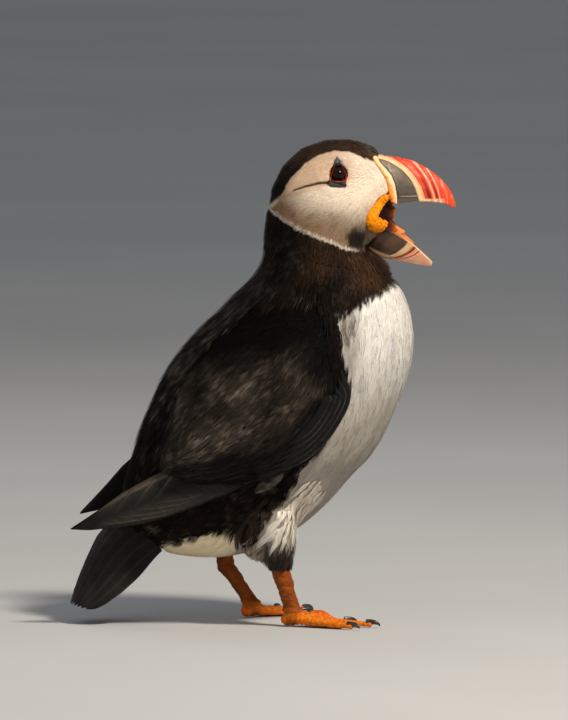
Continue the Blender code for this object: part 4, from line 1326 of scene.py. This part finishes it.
def upper_bill(p):
    """Colour and relief of the upper bill and its rim: slate plate, pale ridges, grooves and red tip with
    painted pink highlights.
    """
    x, y, z = xyz(p)
    r = np.hypot(x - UPPER_CENTRE[0], z - UPPER_CENTRE[1]) + 0.12 * noise3(p, 3.0, 44)
    low, sill = ease(196.0, 184.0, z), z - SILL + 0.1
    inner = r - 0.7 * ease(185.0, 196.0, z)
    # Painted highlight: pink streaks over the top of the red tip.
    highlight_streaks = noise3(np.stack([r * 1.3, y * 0.2, (z - x) * 0.28], -1), 1.6, 43)
    pink_highlight = ease(0.0, 0.6, highlight_streaks) * ease(31.5, 33.0, r) * ease(181.8, 184.5, z)
    colour = paint(
        SLATE,
        ((0.34, 0.27, 0.21), ease(187.0, 199.0, z + 1.5 * noise3(p, 4, 41)) * 0.8),
        ((0.045, 0.040, 0.040), ease(0.1, 0.8, noise3(p, 2.2, 45)) * 0.5),
        ((0.40, 0.33, 0.27), band(sill, 0.75, 1.05) * ease(58.5, 60, x) * 0.8),
        ((0.018, 0.012, 0.010), (band(sill, 1.25, 1.55, 0.15) + band(sill, 0.25, 0.5, 0.1)) * 0.8),
        (PALE_RIDGE, ease(22.3, 22.6, inner)),
        ((0.03, 0.015, 0.01), band(inner, 22.15, 22.4, 0.1) * 0.85),
        (ORANGE, band(r, 24.4, 25.3, 0.35) * 0.6),
        (mix(RED, (0.86, 0.075, 0.022), cloud(p, 3.0, 42)), ease(25.1, 25.45, r)),
        (PALE_PINK, pink_highlight * 0.55),
    )
    # Each stripe's start and end, its colour, its strength, and how much of both it loses towards the ridge.
    for start, end, shade, share, fade in (
        (25.35, 25.65, DARK_RED, 0.95, 0.0),
        (26.15, 26.4, DARK_RED, 0.80, 0.0),
        (26.6, 27.9, DARK_RED, 0.88, 1.0),
        (28.6, 29.5, PALE_PINK, 0.90, 0.0),
        (29.9, 30.75, DARK_RED, 0.80, 1.0),
        (31.1, 31.7, PALE_PINK, 0.80, 0.0),
        (32.2, 32.5, DARK_RED, 0.35, 0.6),
        (34.3, 34.7, PALE_PINK, 0.40, 0.0),
    ):
        lost = fade * (1 - low)
        middle, half = (start + end) / 2, (end - start) / 2 * (1 - 0.75 * lost)
        colour = mix(colour, shade, band(r, middle - half, middle + half) * share * (1 - 0.5 * lost))
    edge = ease(182.85, 182.5, z - 0.10 * (x - 66) * ease(70, 64, x)) * ease(66.5, 68.0, x)
    past_cere = ahead_of(p, CERE_FRONT)
    rim, pits, across = ease(0.2, -0.25, past_cere), noise3(p, 0.45, 61), ahead_of(p, CERE_BACK) / 3.4
    pale = ease(0.15, 0.75, across + 0.12 * pits + 0.03 * (z - 190))
    colour = paint(
        colour,
        ((0.86, 0.56, 0.30), edge * ease(79.0, 76.0, x) * 0.8),
        ((0.42, 0.12, 0.03), ease(80.6, 82.3, x) * 0.8),
        (mix((0.88, 0.30, 0.035), (0.93, 0.66, 0.36), pale), rim),
        ((0.022, 0.016, 0.013), band(past_cere, 0.12, 0.42, 0.14) * ease(201, 199, z)),
        ((0.35, 0.10, 0.015), ease(0.08, -0.05, across) * rim * 0.7),
    )

    relief = carve(
        0.0, r, (22.7, 25.1, 0.34, 0.5), (25.4, 27.9, -0.36, 0.25), (25.7, 26.1, 0.18, 0.1),
        (28.5, 29.5, 0.18, 0.25), (29.9, 30.75, -0.28, 0.25), (31.1, 31.7, 0.12, 0.2),
        (32.2, 32.6, -0.12, 0.2),
    )
    relief = carve(relief, inner, (22.05, 22.4, -0.25, 0.15))
    relief = relief + 0.16 * (band(sill, 0.7, 1.1, 0.1) - band(sill, 1.2, 1.7, 0.15)) * ease(22.4, 21.5, r)
    relief = relief + 0.05 * noise3(p, 2.0, 46)
    swell = 0.45 * np.sin(math.pi * np.clip(across, 0, 1)) + 0.07 * pits + 0.1
    return colour, carve(relief * (1 - rim) + swell * rim, past_cere, (0.05, 0.45, -0.3, 0.15))


def lower_bill(p):
    """Colour and relief of the lower bill: brown plate, pale ridge, dark grooves and pink tip."""
    dx, dz = p[..., 0] - LOWER_ROOT[0], p[..., 2] - LOWER_ROOT[1]
    u = dx * LOWER_AHEAD[0] + dz * LOWER_AHEAD[1]
    v = -dx * LOWER_AHEAD[1] + dz * LOWER_AHEAD[0]
    wide = np.sqrt(np.maximum(1 - ((v - 6.0) / 12.0) ** 2, 0.0))
    q = (u - 3.0) / np.maximum(wide, 0.12) - 13.0 + 0.2 * noise3(p, 3.0, 53)
    q = np.where(v < -5.9, np.maximum(q, 0.5), q)
    below = ease(-3.9, -5.0, v - 0.0144 * (u - 4) ** 2)
    ridge = np.maximum(band(q, -2.6, 0.5, 0.35), below * ease(1.0, 0.0, q))
    colour = paint(
        mix((0.125, 0.070, 0.042), (0.072, 0.045, 0.030), ease(-0.2, 0.8, noise3(p, 3.5, 51))),
        (PALE_RIDGE, ridge),
        (ORANGE, band(q, 0.2, 1.3, 0.4) * 0.9),
        (mix((1.0, 0.58, 0.38), (0.95, 0.28, 0.13), cloud(p, 2.2, 52)), ease(1.1, 1.6, q)),
    )
    for start, end, shade, share in (
        (1.1, 2.3, (0.17, 0.018, 0.006), 0.92),
        (2.6, 3.1, ORANGE, 0.7),
        (3.3, 3.8, PALE_PINK, 0.85),
        (4.0, 4.7, (0.50, 0.012, 0.008), 0.92),
        (6.6, 6.95, PALE_PINK, 0.6),
        (8.6, 8.9, PALE_PINK, 0.4),
    ):
        colour = mix(colour, shade, band(q, start, end, 0.15) * share)
    rear = u - 0.45 * v + 0.05
    top = 6.1 - 0.03 * (u - 4.5) - 0.0108 * (u - 4.5) ** 2
    edge_shade = mix((0.90, 0.30, 0.08), (0.93, 0.62, 0.34), ease(8.0, 18.0, u))
    inner = ease(3.9, 3.0, np.abs(p[..., 1])) * ease(top - 1.6, top - 0.8, v) * ease(20.0, 16.0, u)
    colour = paint(
        colour,
        ((0.22, 0.012, 0.006), band(rear, -0.2, 0.5, 0.2) * 0.95),
        ((0.14, 0.085, 0.055), ease(-0.3, -0.6, rear)),
        (edge_shade, ease(top - 0.70, top - 0.35, v) * ease(3.0, 5.0, u) * 0.95),
        ((0.80, 0.20, 0.03), inner),
    )
    relief = carve(0.28 * ridge, q, (1.1, 2.3, -0.3, 0.3), (4.0, 4.7, -0.2, 0.25), (3.3, 3.8, 0.12, 0.2))
    return colour, carve(relief + 0.05 * noise3(p, 1.8, 54), rear, (-0.2, 0.5, -0.2, 0.2))


def add_fine(name, nodes, voxel, smooth, shape, material, slot, grow=0.0, extra=(), settle=None):
    """CAD nodes remade in fine mesh, with colours and relief from `shape`, which takes points."""
    verts, faces = fuse(nodes, voxel, grow, smooth, extra)
    if settle:
        verts = settle(verts)
    normals = vertex_normals(verts, faces)
    colour, relief = shape(verts)
    out = ease(0.0, 0.35, np.abs(normals[:, 1]))
    verts = verts + normals * (relief * out)[:, None]
    add_mesh(name, verts, faces, material, slot, np.clip(colour, 0.003, 0.95), replaces=nodes)


# The gape's flesh on one side: (x, z) along its crescent, with its half width.
GAPE = [
    (55.6, 183.3, 0.8), (54.2, 183.7, 1.15), (51.9, 182.8, 1.7), (49.5, 180, 2), (47.6, 177, 2.25),
    (46.8, 174.2, 2.75), (47.9, 172.2, 3.3), (50, 171.7, 3.1), (51.7, 172.3, 2.2), (52.8, 173.4, 1),
]
GAPE_OUT = 8.9
GAPE_ROWS, GAPE_SIDES = 150, 36


def make_gape(side, material, head):
    """The thick wrinkled crescent of flesh at one corner of the bill."""
    sign = SIDES[side]
    x, z, wide = smooth_line(GAPE, GAPE_ROWS).T
    run = np.concatenate([[0], np.cumsum(np.hypot(np.diff(x), np.diff(z)))])
    out = GAPE_OUT + 0.7 * np.sin(math.pi * run / run[-1])
    for i in range(GAPE_ROWS):
        y = head.seen_at(x[i] - 0.9 * wide[i], z[i], sign, 40.0, 39.0)
        if y is not None:
            out[i] = max(out[i], abs(y) - 0.1)
    centres = np.stack([x, sign * blur(out, 8), z], -1)
    verts, faces = tube(centres, 1.0, OUT[side], GAPE_SIDES, False)
    ring = verts.reshape(GAPE_ROWS, GAPE_SIDES, 3) - centres[:, None]
    flat = ring * (1.0, 0.0, 1.0) * wide[:, None, None]
    thick = ring * (0.0, 1.0, 0.0) * (0.55 + 0.42 * wide)[:, None, None]
    verts = (centres[:, None] + flat + thick).reshape(-1, 3)
    along = np.repeat(run, GAPE_SIDES)
    round_it = np.tile(np.linspace(0, 2 * math.pi, GAPE_SIDES, endpoint=False), GAPE_ROWS)
    crook = 1.3 * noise3(verts, 2.6, 71 + sign) + 0.3 * np.sin(round_it * 2)
    fold = np.sin((along + crook) * 3.4) * 0.4 + 0.45 * noise3(verts, 1.4, 73) + 0.3 * noise3(verts, 0.6, 74)
    lobe = np.hypot(verts[:, 0] - 49.9, verts[:, 2] - 171.9)
    rings = np.sin(lobe * 4.6 + 0.8 * noise3(verts, 1.5, 75))
    share = ease(3.0, 2.0, lobe)
    fold = fold * (1 - 0.7 * share) + rings * 0.6 * share
    verts = verts + vertex_normals(verts, faces) * (0.23 * fold)[:, None]
    inner = ease(0.2, 1.4, (verts[:, 0] - np.repeat(x, GAPE_SIDES)) / 2)
    inner = inner * ease(0.5, -0.8, (verts[:, 1] - sign * 9.2) * sign)
    # Painted shade: the grooves of the wrinkles, and the front inner side that turns towards the mouth, are
    # darker orange than the ridges.
    colour = paint(
        (0.50, 0.085, 0.001),
        ((0.97, 0.30, 0.001), ease(-0.9, -0.1, fold)),
        ((0.30, 0.05, 0.004), inner * 0.8),
    )
    add_mesh(f"gape_flesh_{side}", verts, faces, material, "gape_yellow", colour, replaces=[f"gape_{side}"])


def make_mouth(material):
    """The lining between the two corners: two fleshy walls with the throat between them, darkened by painted
    shade deeper inside the mouth.
    """
    u, v = np.meshgrid(np.linspace(-1, 1, 61), np.linspace(0, 1, 71))
    y, z = u * 8.6, 184.0 - 15.2 * v
    back = 50.2 + 4.3 * np.abs(2 * v - 1) ** 2.2
    front = 56.2 + 1.0 * np.abs(2 * v - 1) ** 2 + 0.75 * np.sin(v * 13.5 + 1.6) + 0.3 * np.sin(v * 31 + 2.0)
    x = back + (front - back) * bell(np.abs(u), 0.62, 0.22) - 4.0 * bell(u, 0, 0.30)
    x = x - 3.0 * ease(0.93, 1.0, np.abs(u))
    x = x + 0.3 * noise3(np.stack([0 * x, y, z], -1), 1.4, 82)
    top = np.stack([x, y, z], -1)
    low = np.stack([np.minimum(x - 2.5, 47.5), y * 0.9, z * 0.9 + 17.7], -1)
    verts, faces = slab(low[:, ::-1], top[:, ::-1])
    # Painted shade: the lining is near black deep in the mouth and brighter orange towards its open front.
    depth = ease(0.15, 0.95, (verts[:, 0] - 50.0) / 7.0)
    colour = paint(
        (0.010, 0.0025, 0.001),
        ((0.16, 0.030, 0.002), depth**2.4),
        ((0.60, 0.13, 0.004), ease(0.90, 1.03, depth) * 0.6),
    )
    colour = np.clip(colour, 0.003, 0.9)
    add_mesh("mouth_skin", verts, faces, material, "mouth_orange", colour, replaces=["mouth"])


def tongue_shape(p):
    return mix((0.78, 0.17, 0.03), (0.86, 0.34, 0.12), cloud(p, 1.8, 83)), 0.12 * noise3(p, 1.0, 84)


def plate_shape(p):
    """Nearly black plates: a grey-blue streak down the middle of the upper one, partly its own grey-blue and
    partly a painted highlight, and a painted grey highlight along the lower one.
    """
    x, _, z = xyz(p)
    # Partly the upper plate's own grey-blue, partly a painted highlight.
    middle = bell(x, 31.9, 0.55) * ease(197.4, 198.6, z)
    # A painted grey highlight along the lower plate.
    low = bell(z, 189.7, 0.35) * ease(0.0, 0.5, noise3(p, 1.6, 91)) * 0.3
    colour = mix((0.010, 0.0095, 0.010), (0.080, 0.085, 0.092), np.clip(middle + low * (z < 193), 0, 1))
    return colour, 0.05 * noise3(p, 0.5, 92)


def make_bill(head):
    bill = horn("bill_horn", 0.42, 420.0, 0.08, 0.08)
    strap = [ball((x, y * k, z), (1.25, 1.7, 1.25)) for x, y, z in smooth_line(CERE_TOP, 18) for k in (-1, 1)]
    upper = ["bill_upper", "cere"]
    add_fine("bill_upper_horn", upper, 0.25, 4, upper_bill, bill, "bill_horn", 0.32, strap, settle_ridge)
    add_fine("bill_lower_horn", ["bill_lower"], 0.24, 3, lower_bill, bill, "bill_horn", 0.1)
    for side in SIDES:
        make_gape(side, flesh("gape_flesh", 0.4), head)
    inner = flesh("mouth_flesh", 0.65)
    make_mouth(inner)
    pad_places = [(53.6 + 1.3 * k, y, 171.3 - 0.78 * k) for k in range(5) for y in (-3.4, 0.0, 3.4)]
    pads = [ball(place, (2.2, 1.9, 1.4)) for place in pad_places]
    add_fine("tongue_skin", ["tongue"], 0.25, 3, tongue_shape, inner, "mouth_orange", 0.0, pads)


def make_claws():
    """Hooked claws, set into the ends of the toes."""
    material, sides = horn("claw_horn", 0.28, coat=0.3), 16
    s = np.linspace(0, 1, 26)
    curl = (CLAW_REACH + 0.9) * np.sin(s * 1.35) / math.sin(1.35)
    for side, toe in product(SIDES, ("inner", "middle", "outer")):
        angle, reach = TOE_REACH[toe]
        way = toe_way(side, angle)
        path = hub(side) + way * (reach - 0.9 + curl)[:, None]
        path[:, 2] = 2.3 + 0.55 * np.sin(s * math.pi * 0.75) - 1.95 * s**2.2
        verts, faces = tube(path, 1.32 * (1 - s) ** 0.62 + 0.07, UP, sides, False)
        squeeze = np.cross(way, UP)
        aside = ((verts - np.repeat(path, sides, axis=0)) @ squeeze)[:, None] * squeeze
        verts = verts - aside * 0.28
        verts[:, 2] = np.maximum(verts[:, 2], 0.05)
        colour = mix((0.012, 0.010, 0.010), (0.055, 0.045, 0.040), cloud(verts * (1, 1, 2.0), 0.8, 95))
        name, node = f"claw_horn_{side}_{toe}", f"claw_{side}_{toe}"
        add_mesh(name, verts, faces, material, "claw_horn", colour, replaces=[node])


# ---------------------------------------------------------------- eyes

# The outline of the red ring round each eye.
RING = [
    (28.7, 191.5), (29.8, 190.8), (32.3, 190.6), (34.8, 190.7), (35.6, 191.3), (35.5, 193.2), (34.9, 195.1),
    (34, 197), (33, 198.2), (32, 198.5), (31.1, 197.9), (30.2, 196.2), (29.4, 194.1),
]
RING_POINTS = 96
# Each ring's name, how far inside the outline it lies, its radius and its two shades.
RINGS = (
    ("eye_ring", 0.0, 0.33, ((0.26, 0.006, 0.004), (0.82, 0.085, 0.012))),
    ("eye_lid", 0.42, 0.30, ((0.008, 0.004, 0.004), (0.030, 0.008, 0.006))),
)


def make_eyes(head):
    plate = horn("eye_plate_horn", 0.6)
    outline = smooth_line(RING, RING_POINTS, closed=True)
    for side, sign in SIDES.items():
        node = f"eye_{side}"
        low, high = (np.array(v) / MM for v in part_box(node))
        centre, radius = (low + high) / 2, (high[2] - low[2]) / 2
        points, faces = ball((0, 0, 0), (radius, radius, radius))
        off = np.linalg.norm(points[:, (0, 2)], axis=1) / radius
        front = points[:, 1] * sign > 0
        points[:, 1] += sign * front * (0.45 + 0.4 * bell(off, 0, 0.55))
        colour = paint(
            (0.0015, 0.001, 0.001),
            ((0.030, 0.005, 0.003), ease(0.50, 0.56, off)),
            ((0.004, 0.003, 0.003), ease(0.70, 0.80, off)),
        )
        add_mesh(f"eyeball_{side}", points + centre, faces, eye_dark(), "eye_dark", colour, replaces=[node])

        places, _ = head.nearest(from_side(outline, centre[1] + sign * 2.0))
        places = from_side(outline, sign * np.maximum(np.abs(places[:, 1]), abs(centre[1]) + radius - 1.5))
        lumps = 1 + 0.15 * noise3(places, 0.8, 97)
        full = 0.55 + 0.55 * ease(197.0, 191.5, places[:, 2])
        away = unit((places - (EYE_X, 0, EYE_Z)) * (1, 0, 1))
        for ring_name, inward, size, shades in RINGS:
            path = places - away * inward + OUT[side] * (0.32 - 0.35 * inward)
            verts, faces = tube(path, size * lumps * full, OUT[side], 12, True)
            z = verts[:, 2]
            bright = ease(193.0, 191.2, z) * ease(-0.9, 0.3, noise3(verts, 1.2, 98))
            tint = mix(mix(*shades, bright), (0.010, 0.006, 0.005), ease(196.2, 197.6, z))
            add_mesh(f"{ring_name}_{side}", verts, faces, flesh("eye_ring", 0.4), "gape_yellow", tint)
        for part in ("upper", "lower"):
            node = f"eye_plate_{part}_{side}"
            add_fine(f"eye_horn_{part}_{side}", [node], 0.16, 3, plate_shape, plate, "eye_plate_horn", 0.1)


# ---------------------------------------------------------------- flight feathers and tail

# The folded wing tip on each side: its start, its droop and how far out it starts to show.
BLADES = {"right": ((-2.0, 69.0), 18.5, 0.0), "left": ((-6.8, 88.5), 31.0, 40.0)}
# Stations along a blade: distance from its start, reach above its axis and below it.
BLADE_SHAPE = [
    (0, 6.5, 3.5), (14, 10.5, 6), (31, 12.4, 7.2), (46, 10.3, 7.8), (58.5, 8, 7), (68, 4.9, 5.3),
    (77.5, 2.2, 2.9), (84.6, 0.3, 0.3),
]
BLADE_TIPS = (84.4, 74.5, 65.5, 56.0, 46.5)


def vane(base, ups, colour, camber, seed, shaft, shaft_at=0.0):
    """A feather from a grid of points: cambered, with a raised shaft, a little random unevenness and its
    colours.
    """
    rng = np.random.default_rng(seed)
    rows, columns = base.shape[:2]
    s, t = np.meshgrid(np.linspace(0, 1, rows), np.linspace(-1, 1, columns), indexing="ij")
    rise = -camber * t**2 + shaft * bell(t, shaft_at, 0.10) * (1 - 0.6 * s)
    rise = rise + 0.03 * rng.normal(size=(rows, columns))
    points = base + ups * rise[..., None]
    barbs = np.stack([s * 12 + np.abs(t) * 1.6, t * 0.4], -1) + rng.random(2) * 40
    return {
        "verts": points.reshape(-1, 3),
        "quads": grid_quads(rows, columns),
        "tris": np.zeros((0, 3), int),
        "tints": colour(points, s, t).reshape(-1, 3),
        "bake": bake_places(base[:1, columns // 2], s, t).reshape(-1, 2),
        "vane": barbs.reshape(-1, 2),
    }


def plain_group(verts, faces, colour):
    """A plain mesh as a group that can be joined with feathers."""
    quads = np.array([f for f in faces if len(f) == 4])
    tris = np.array([f for f in faces if len(f) == 3]).reshape(-1, 3)
    patch = unwrap(verts)
    return {"verts": verts, "quads": quads, "tris": tris, "tints": colour, "bake": patch, "vane": patch * 30}


def flight_colour(points, s, t):
    """Brown-black vane, paler towards its rim, with a pale shaft and a black tip to the wing."""
    x, _, z = xyz(points)
    speck = cloud(points, 1.2, 35)
    rim = ease(0.84, 0.98, np.abs(t)) * ease(0.3, 0.6, s) * np.where(t > 0, 0.45, 1.0)
    shaft = bell(t, 0.83, 0.07) * ease(0.85, 0.6, s) * (z > 40)
    return paint(
        (0.0085, 0.0075, 0.0068),
        ((0.030, 0.025, 0.021), ease(0.0, 0.9, np.abs(t)) * (0.3 + 0.7 * speck)),
        ((0.085, 0.067, 0.052), rim * 0.7 * (0.5 + 0.5 * speck)),
        ((0.150, 0.112, 0.080), shaft * 0.6),
        ((0.005, 0.005, 0.005), ease(-66.0, -73.0, x) * 0.9),
    )


def tail_colour(points, s, t):
    return paint(
        (0.006, 0.0055, 0.005),
        ((0.020, 0.0165, 0.014), cloud(points, 5.0, 39)),
        ((0.060, 0.050, 0.042), ease(0.86, 0.98, np.abs(t)) * ease(0.2, 0.5, s) * 0.7),
        ((0.032, 0.028, 0.026), bell(t, 0, 0.09) * 0.6),
    )


def alula_colour(points, s, t):
    streaks = noise3(points * (0.5, 1.0, 1.0), 1.2, 36)
    return paint(
        (0.024, 0.019, 0.016),
        ((0.120, 0.094, 0.074), ease(-0.5, 0.6, streaks + 0.5 * t)),
        ((0.012, 0.010, 0.009), bell(t, -0.1, 0.12) * 0.8),
        ((0.010, 0.009, 0.008), ease(0.75, 1.0, np.abs(t)) * 0.7),
    )


def edge_vane_colour(points, s, t):
    rim = ease(0.76, 0.92, t) * ease(0.0, 0.15, s) * ease(1.0, 0.8, s)
    return paint(
        (0.003, 0.0028, 0.0026),
        ((0.0085, 0.0073, 0.0065), cloud(points, 2.0, 37)),
        ((0.090, 0.075, 0.063), rim * (0.6 + 0.4 * noise3(points, 4.0, 38))),
    )


def add_vanes(name, groups, replaces=()):
    add_coat(name, groups, flight_feathers(), "black_plumage", replaces)


def make_flight(side):
    """The folded primaries: each lies over the next longer one and ends in its own pointed tip."""
    sign = SIDES[side]
    (wrist_x, wrist_z), droop, shown = BLADES[side]
    ahead = np.array([-math.cos(math.radians(droop)), 0, -math.sin(math.radians(droop))])
    up = np.array([ahead[2], 0, -ahead[0]])
    verts, faces = fuse([f"primaries_{side}"], 0.55, -0.1, 3)
    core = Surface(verts, faces)
    stations, reach_above, reach_below = np.array(BLADE_SHAPE).T
    groups = [plain_group(verts, faces, np.tile((0.010, 0.009, 0.009), (len(verts), 1)))]
    s, share = np.linspace(0, 1, 46), (np.linspace(-1, 1, 13) + 1) / 2
    start = max(shown - 2.0, 2.0)
    for k, reach in enumerate(BLADE_TIPS):
        if reach < start + 12:
            continue
        at = start + (reach - start) * (1 - (1 - s) ** 1.5)
        left = np.maximum(reach - at, 0.0)
        middle = -0.9 + 0.45 * k if k else 0.0
        high = np.minimum(middle + 0.95 * left**0.92, np.interp(at, stations, reach_above) - 0.35 * k)
        low = np.maximum(middle - 1.0 * left**0.55, -(np.interp(at, stations, reach_below) - 0.95 * k))
        lift = low[:, None] * (1 - share) + high[:, None] * share
        grid = np.array([wrist_x, 0, wrist_z]) + ahead * at[:, None, None] + up * lift[..., None]
        for spot in grid.reshape(-1, 3):
            y = core.seen_at(spot[0], spot[2], sign, 70.0, 90.0)
            spot[1] = core.tree.find_nearest((spot[0], sign * 32.0, spot[2]))[0][1] if y is None else y
        grid = grid + OUT[side] * (0.12 + 0.22 * k)
        groups.append(vane(grid, OUT[side], flight_colour, 0.22, 200 + k, 0.2, 0.83))
    add_vanes(f"primaries_vanes_{side}", groups, [f"primaries_{side}"])


def make_wing_edges(skin, side):
    """Long narrow feathers that lie side by side along the front and lower edge of a wing."""
    sign, edge, groups = SIDES[side], smooth_line(WING_LOW_EDGE, 150), []
    for k in range(5):
        line = edge[22 + 6 * k : 104 - 4 * k]
        heading = unit(np.gradient(line, axis=0))
        inward = np.stack([heading[:, 1], -heading[:, 0]], -1)
        s, t = np.linspace(0, 1, len(line)), np.linspace(-1, 1, 7)
        half = 1.7 * np.minimum(1.0, np.minimum(5 * s, 4 * (1 - s)) + 0.03)
        middle = line + inward * (1.4 + 2.0 * k)
        flat = middle[:, None] - inward[:, None] * (half[:, None] * t)[..., None]
        out = np.array([[abs(skin.seen_at(x, z, sign, 70.0, 60.0) or 0.0) for x, z in row] for row in flat])
        out = np.maximum(out, np.median(out, axis=1, keepdims=True) - 0.8)
        soft = np.stack([blur(column, 6) for column in out.T], 1)
        grid = from_side(flat, sign * (soft + 1.45 + 0.16 * k))
        groups.append(vane(grid, OUT[side], edge_vane_colour, 0.25, 500 + k, 0.0))
    add_vanes(f"wing_edge_vanes_{side}", groups)


def make_alulas(skin):
    """The short brown feather that shows under each wing's edge."""
    groups = []
    for side, lift in (("right", 2.6), ("left", 1.5)):
        s, t = np.linspace(0, 1, 24), np.linspace(-1, 1, 11)
        start, end = np.array([8.6, 0, 67.6]), np.array([-3.6, 0, 58.4])
        ahead = unit(end - start)
        across = np.array([-ahead[2], 0, ahead[0]])
        width = 2.9 * np.sin(math.pi * s**0.8) ** 0.6 + 0.05
        flat = start + (end - start) * s[:, None, None] + across * (width[:, None] * t)[..., None]
        places, _ = skin.nearest(flat + OUT[side] * 32.0)
        out = np.abs(places[..., 1]).max(axis=1, keepdims=True)
        grid = flat + OUT[side] * (np.minimum(out, 33.0) + lift)[..., None]
        groups.append(vane(grid, OUT[side], alula_colour, 0.2, 400, 0.4))
    add_vanes("alula_vanes", groups)


# Ribs of the tail: (x, z) of its top, of the lower edge of its sides, and its half width.
TAIL_RIBS = [
    ((-58.0, 47.0), (-43.0, 33.0), 12.5),
    ((-65.8, 42.5), (-49.6, 27.4), 15.0),
    ((-70.9, 36.3), (-55.8, 21.6), 17.0),
    ((-75.0, 27.9), (-62.0, 15.6), 18.4),
    ((-78.6, 19.2), (-68.6, 10.2), 18.2),
    ((-80.9, 12.6), (-74.2, 6.8), 16.4),
    ((-82.3, 7.6), (-79.2, 4.6), 13.8),
]
TAIL_ARCH = math.radians(84.0)
TAIL_VANES = 14


def make_tail():
    """Tail feathers over the arch of the tail, the middle pair on top and the outer ones down its sides."""
    groups = []
    s, t = np.linspace(0, 1, 40), np.linspace(-1, 1, 11)
    across, middle = np.array([0.0, 1.0, 0.0]), (TAIL_VANES - 1) / 2
    stations = np.linspace(0, 1, len(TAIL_RIBS))
    columns = [(*top, *low, wide) for top, low, wide in TAIL_RIBS]
    for k in sorted(range(TAIL_VANES), key=lambda k: -abs(k - middle)):
        turn = (k - middle) / middle
        run = 0.02 + s * (0.98 - 0.13 * abs(turn) ** 2)
        top_x, top_z, low_x, low_z, wide = (np.interp(run, stations, c)[:, None, None] for c in zip(*columns))
        half = math.radians(12.5) * (0.65 + 0.35 * ease(0, 0.4, s))
        half = half * np.sqrt(np.clip(1 - ease(0.84, 1.0, s) ** 1.8, 0.004, 1))
        angle = (turn * TAIL_ARCH + half[:, None] * t)[..., None]
        low = np.concatenate([low_x, 0 * low_x, low_z], -1)
        rise = np.concatenate([top_x, 0 * top_x, top_z], -1) - low
        places = low + rise * np.cos(angle) + across * np.sin(angle) * wide
        size = np.linalg.norm(rise, axis=-1, keepdims=True)
        normals = unit(unit(rise) * np.cos(angle) * wide + across * np.sin(angle) * size)
        layer = 0.15 + 0.13 * (middle - abs(k - middle))
        groups.append(vane(places + normals * layer, normals, tail_colour, 0.2, 300 + k, 0.22))
    add_vanes("tail_vanes", groups)


# ---------------------------------------------------------------- stage

FRAME_HEIGHT = 309.6  # millimetres of the mid-plane seen from top to bottom
CAMERA_RANGE = 5000.0
CAMERA_TARGET = (9.0, 0.0, 113.0)
CAMERA_ELEVATION = math.radians(4.0)
SENSOR = 36.0
FLOOR_HALF = 30.0  # metres


def make_camera():
    camera = bpy.data.objects.new("camera", bpy.data.cameras.new("camera"))
    camera.data.sensor_width = SENSOR
    camera.data.lens = SENSOR * CAMERA_RANGE / FRAME_HEIGHT
    back = Vector((0.0, -math.cos(CAMERA_ELEVATION), math.sin(CAMERA_ELEVATION)))
    camera.location = (Vector(CAMERA_TARGET) + back * CAMERA_RANGE) * MM
    camera.rotation_euler = (-back).to_track_quat("-Z", "Y").to_euler()
    camera.data.clip_end = 100.0
    bpy.context.scene.collection.objects.link(camera)
    bpy.context.scene.camera = camera


def add_light(name, place, size, power, colour):
    """A soft square light that shines at the middle of the bird."""
    light = bpy.data.lights.new(name, "AREA")
    light.size, light.energy, light.color = size, power, colour
    obj = bpy.data.objects.new(name, light)
    obj.location = place
    obj.rotation_euler = (Vector(place) - Vector((0, 0, 0.1))).to_track_quat("Z", "Y").to_euler()
    bpy.context.scene.collection.objects.link(obj)


def make_stage():
    a = FLOOR_HALF
    mesh = bpy.data.meshes.new("floor")
    mesh.from_pydata([(-a, -a, 0), (a, -a, 0), (a, a, 0), (-a, a, 0)], [], [(0, 1, 2, 3)])
    n = Nodes("floor")
    mesh.materials.append(n.finish(n.ramp(n.noise(3.0, 2.0), [(0.3, 0.49), (0.7, 0.53)]), Roughness=0.85))
    floor = bpy.data.objects.new("floor", mesh)
    bpy.context.scene.collection.objects.link(floor)
    world = bpy.data.worlds.new("studio")
    world.use_nodes = True
    background = world.node_tree.nodes["Background"]
    background.inputs["Color"].default_value = (0.86, 0.90, 0.96, 1)
    background.inputs["Strength"].default_value = 0.25
    bpy.context.scene.world = world
    bpy.context.scene.view_settings.view_transform = "Standard"
    add_light("key", (0.78, -0.80, 1.45), 0.24, 34.0, (1.0, 0.915, 0.79))
    add_light("fill", (-1.0, -1.2, 0.30), 0.9, 3.0, (1.0, 0.95, 0.86))
    add_light("rim", (-0.4, 1.0, 0.9), 0.6, 1.6, (1.0, 0.98, 0.95))


skin_surface, head_surface = make_skin()
make_head_coat(head_surface)
make_black_coat(skin_surface)
make_white_coat(skin_surface)
make_flank_plumes(skin_surface)
for side_of_bird in SIDES:
    make_wing_coat(skin_surface, side_of_bird)
for side_of_bird in SIDES:
    make_flight(side_of_bird)
for side_of_bird in SIDES:
    make_wing_edges(skin_surface, side_of_bird)
make_alulas(skin_surface)
make_tail()
make_bill(head_surface)
make_eyes(head_surface)
make_claws()
make_stage()
make_camera()
